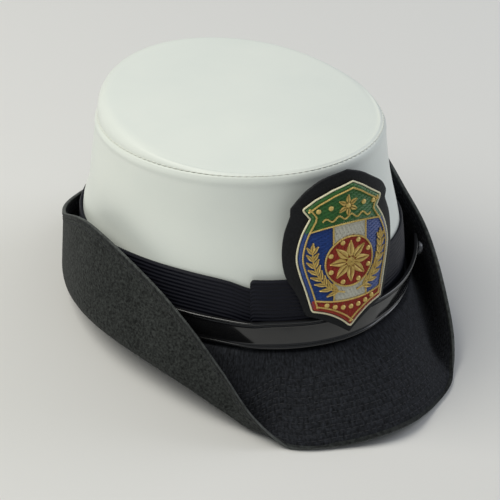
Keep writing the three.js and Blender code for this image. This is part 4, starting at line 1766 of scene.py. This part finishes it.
def goldCords():
    # thin cords, each a line on the shield and whether it closes: stems, bands, border, roundel, wave
    x0, h0, r0 = shield["roundel"]
    border, pale = goldwork["border"], shield["pale"]
    reach = np.linspace(0, goldwork["stemLength"], 60)
    cords = [(stemCurve(side)(reach), False) for side in (-1, 1)]
    for lineAt, height in goldwork["lines"]:
        across = np.linspace(edgeAt(height, -1) + border, edgeAt(height, 1) - border, 70)
        cords.append((np.stack([across, lineAt(across)], -1), False))
    outline, outward = shieldEdge(300)
    cords.append((outline - outward * border, True))
    ring = np.radians(np.linspace(0, 360, 90, endpoint=False))
    cords.append((np.stack([x0 + r0 * np.cos(ring), h0 + r0 * np.sin(ring)], -1), True))
    gapHalf = math.sqrt(r0**2 - pale**2)
    spans = (baseAt(pale) + 0.6, h0 - gapHalf), (h0 + gapHalf, chiefAt(pale) - 0.6)
    for side in (-1, 1):
        for low, high in spans:
            line = np.stack([np.full(20, side * pale), np.linspace(low, high, 20)], -1)
            cords.append((line, False))
    half, height, swing, turns = goldwork["wave"]
    wave = np.linspace(-half, half, 120)
    heights = height - wave**2 * shield["bow"] + swing * np.sin(wave * turns)
    cords.append((np.stack([wave + shield["head"], heights], -1), False))
    return cords


def beadPlaces():
    # where the wound beads sit: along the foot, in the top band and round the roundel
    x0, h0, r0 = shield["roundel"]
    low, rise = goldwork["footLine"]
    places = [(across, low + across**2 * rise) for across in goldwork["footBeads"]]
    places += [(across + shield["head"], height) for across, height in goldwork["headBeads"]]
    count, inset = goldwork["ringBeads"]
    for turn in (np.arange(count) + 0.5) * 2 * math.pi / count:
        places.append((x0 + (r0 - inset) * math.cos(turn), h0 + (r0 - inset) * math.sin(turn)))
    return places


def goldMotifs():
    leaves, cords = goldLeaves(), goldCords()
    level = goldwork["level"]
    starts, ends = (np.vstack(part) for part in zip(*leaves))
    half = (starts + ends) / 2
    up = onField(half, level + 1) - onField(half, level)
    low, high = onField(starts, level), onField(ends, level + 0.1)
    parts = [(0, threadMesh(low, high, up, goldwork["thread"], goldwork["arch"]))]
    for line, closed in cords:
        path = onField(line, level + 0.2)
        ups = onField(line, level + 1.2) - path
        cord = twistedCord(path, ups, goldwork["cord"], goldwork["cordPitch"], 2, closed)
        parts.append((0, cord))
    parts.append((0, twistedCord(*rosetteCoil(), goldwork["cord"] * 0.9, 1.6, 2, False)))
    parts += [(0, beadDome(across, height)) for across, height in beadPlaces()]
    points, faces, _ = joined(parts)
    makePiece("goldMotifs", stand(points), faces, [goldWire])


def rosetteCoil():
    # the middle of the rosette is cord wound in a small coil
    x0, h0, _ = shield["roundel"]
    turns, start, grown = goldwork["coil"]
    turn = np.linspace(0, turns * 2 * math.pi, 80)
    reach = start + turn / turn[-1] * grown
    flat = np.stack([x0 + reach * np.cos(turn), h0 + reach * np.sin(turn)], -1)
    path = fieldPoints(flat[:, 0], goldwork["level"] + 0.75 - reach * 0.12, flat[:, 1])
    return path, onField(flat, goldwork["level"] + 2) - path


def beadDome(across, height):
    # wound bead: a small dome with a coil round it
    radius = goldwork["bead"]
    turn = np.radians(np.arange(0, 360, 30))
    climb = np.radians([-20, 0, 18, 36, 54, 72, 90])
    windings = goldwork["beadCoil"] * np.cos(np.arange(len(climb)) * math.pi)
    reach = radius * np.cos(climb) * (1 + windings)
    outs = goldwork["level"] + 0.1 + radius * goldwork["beadRise"] * np.sin(climb)
    grid = fieldPoints(
        across + reach[None] * np.cos(turn)[:, None],
        outs[None] + 0 * turn[:, None],
        height + reach[None] * np.sin(turn)[:, None],
    )
    faces = gridFaces(len(turn), len(climb), True, False)[0].tolist()
    base = (np.arange(len(turn)) * len(climb)).tolist()
    return grid, faces + [base]


def gildedRim():
    # twisted cord sewn round the shield
    outline, outward = shieldEdge(360)
    line = outline + outward * badge["rimOut"]
    level = badge["fieldBack"] + badge["rimRadius"] * 1.05
    path = onField(line, level)
    ups = onField(line, level + 1) - path
    points, faces = twistedCord(path, ups, badge["rimRadius"], badge["rimPitch"], 3, True)
    makePiece("gildedRim", stand(points), faces, [paleCord], ["badge_rim"])


badgeBacking()
embroideredField()
goldMotifs()
gildedRim()
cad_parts["badge_pin"].material_slots[0].material = turnedBrass()
print("badge made")

# Floor, light and the photo's view
studio = {
    "floor": "e4e3e0",
    "floorHalf": 4,  # m
    "mottle": 60,  # mm
    "aim": (0, 0, 0.06),  # m, where the lights point
    "air": "eaf1f8",
    "airStrength": 0.29,
    "lights": [  # name, place in m, size in m, power in W, colour
        ("keyBox", (-0.85, 0.45, 1.4), 1.2, 20.5, "fffdf4"),
        ("sideFill", (1.3, -0.3, 0.8), 0.9, 6.5, "f2f5ff"),
    ],
}
view = {
    "azimuth": -37,  # degrees, in the hat's own frame
    "elevation": 29,
    "distance": 1300,  # mm
    "lens": 162.4,
    "aside": 4.45,  # mm that the picture's middle lies off the hat's
    "above": 6.1,
}


def paleFloor():
    mesh = bpy.data.meshes.new("paleFloor")
    far = studio["floorHalf"]
    corners = [(-far, -far, 0), (far, -far, 0), (far, far, 0), (-far, far, 0)]
    mesh.from_pydata(corners, [], [(0, 1, 2, 3)])
    floor = bpy.data.objects.new("paleFloor", mesh)
    bpy.context.scene.collection.objects.link(floor)
    # rolled paper backdrop: even, matt, very slightly mottled
    material, tree = newMaterial("rolledPaper")
    where = addNode(tree, "TexCoord")
    mottle = addNode(
        tree, "TexNoise",
        {"Scale": perMm(studio["mottle"]), "Detail": 3.0},
        {"Vector": where.outputs["Object"]},
    )
    rough = addNode(tree, "MapRange", {"To Min": 0.75, "To Max": 0.9}, {"Value": mottle.outputs[0]})
    shader = addNode(
        tree, "BsdfPrincipled",
        {"Base Color": linear(studio["floor"])},
        {"Roughness": rough.outputs[0]},
    )
    addNode(tree, "OutputMaterial", None, {"Surface": shader.outputs[0]})
    mesh.materials.append(material)


def studioLights():
    world = bpy.data.worlds.new("studioAir")
    bpy.context.scene.world = world
    world.use_nodes = True
    air = world.node_tree.nodes["Background"]
    air.inputs["Color"].default_value = linear(studio["air"])
    air.inputs["Strength"].default_value = studio["airStrength"]
    for name, place, size, power, colour in studio["lights"]:
        light = bpy.data.lights.new(name, "AREA")
        light.size, light.energy, light.color = size, power, linear(colour)[:3]
        lamp = bpy.data.objects.new(name, light)
        bpy.context.scene.collection.objects.link(lamp)
        back = unit(np.array(place) - np.array(studio["aim"]))
        aside = unit(np.cross([0, 0, 1], back))
        turn = np.column_stack([aside, np.cross(back, aside), back])
        lamp.matrix_world = Matrix.Translation(place) @ Matrix(turn.tolist()).to_4x4()


def photoCamera():
    a, e = math.radians(view["azimuth"]), math.radians(view["elevation"])
    back = np.array([math.sin(a) * math.cos(e), -math.cos(a) * math.cos(e), math.sin(e)])
    right = np.array([math.cos(a), math.sin(a), 0])
    up = np.cross(back, right)
    spot = right * view["aside"] + up * view["above"] + back * view["distance"]
    level = stand(np.zeros(3))
    axes = [stand(axis) - level for axis in (right, up, back)]
    data = bpy.data.cameras.new("photoCamera")
    data.lens, data.sensor_width, data.clip_end = view["lens"], 36, 20
    camera = bpy.data.objects.new("photoCamera", data)
    bpy.context.scene.collection.objects.link(camera)
    place = Matrix.Translation(metres(stand(spot)).tolist())
    camera.matrix_world = place @ Matrix(np.column_stack(axes).tolist()).to_4x4()
    bpy.context.scene.camera = camera


paleFloor()
studioLights()
photoCamera()
bpy.context.scene.view_settings.view_transform = "Standard"
print("studio ready")
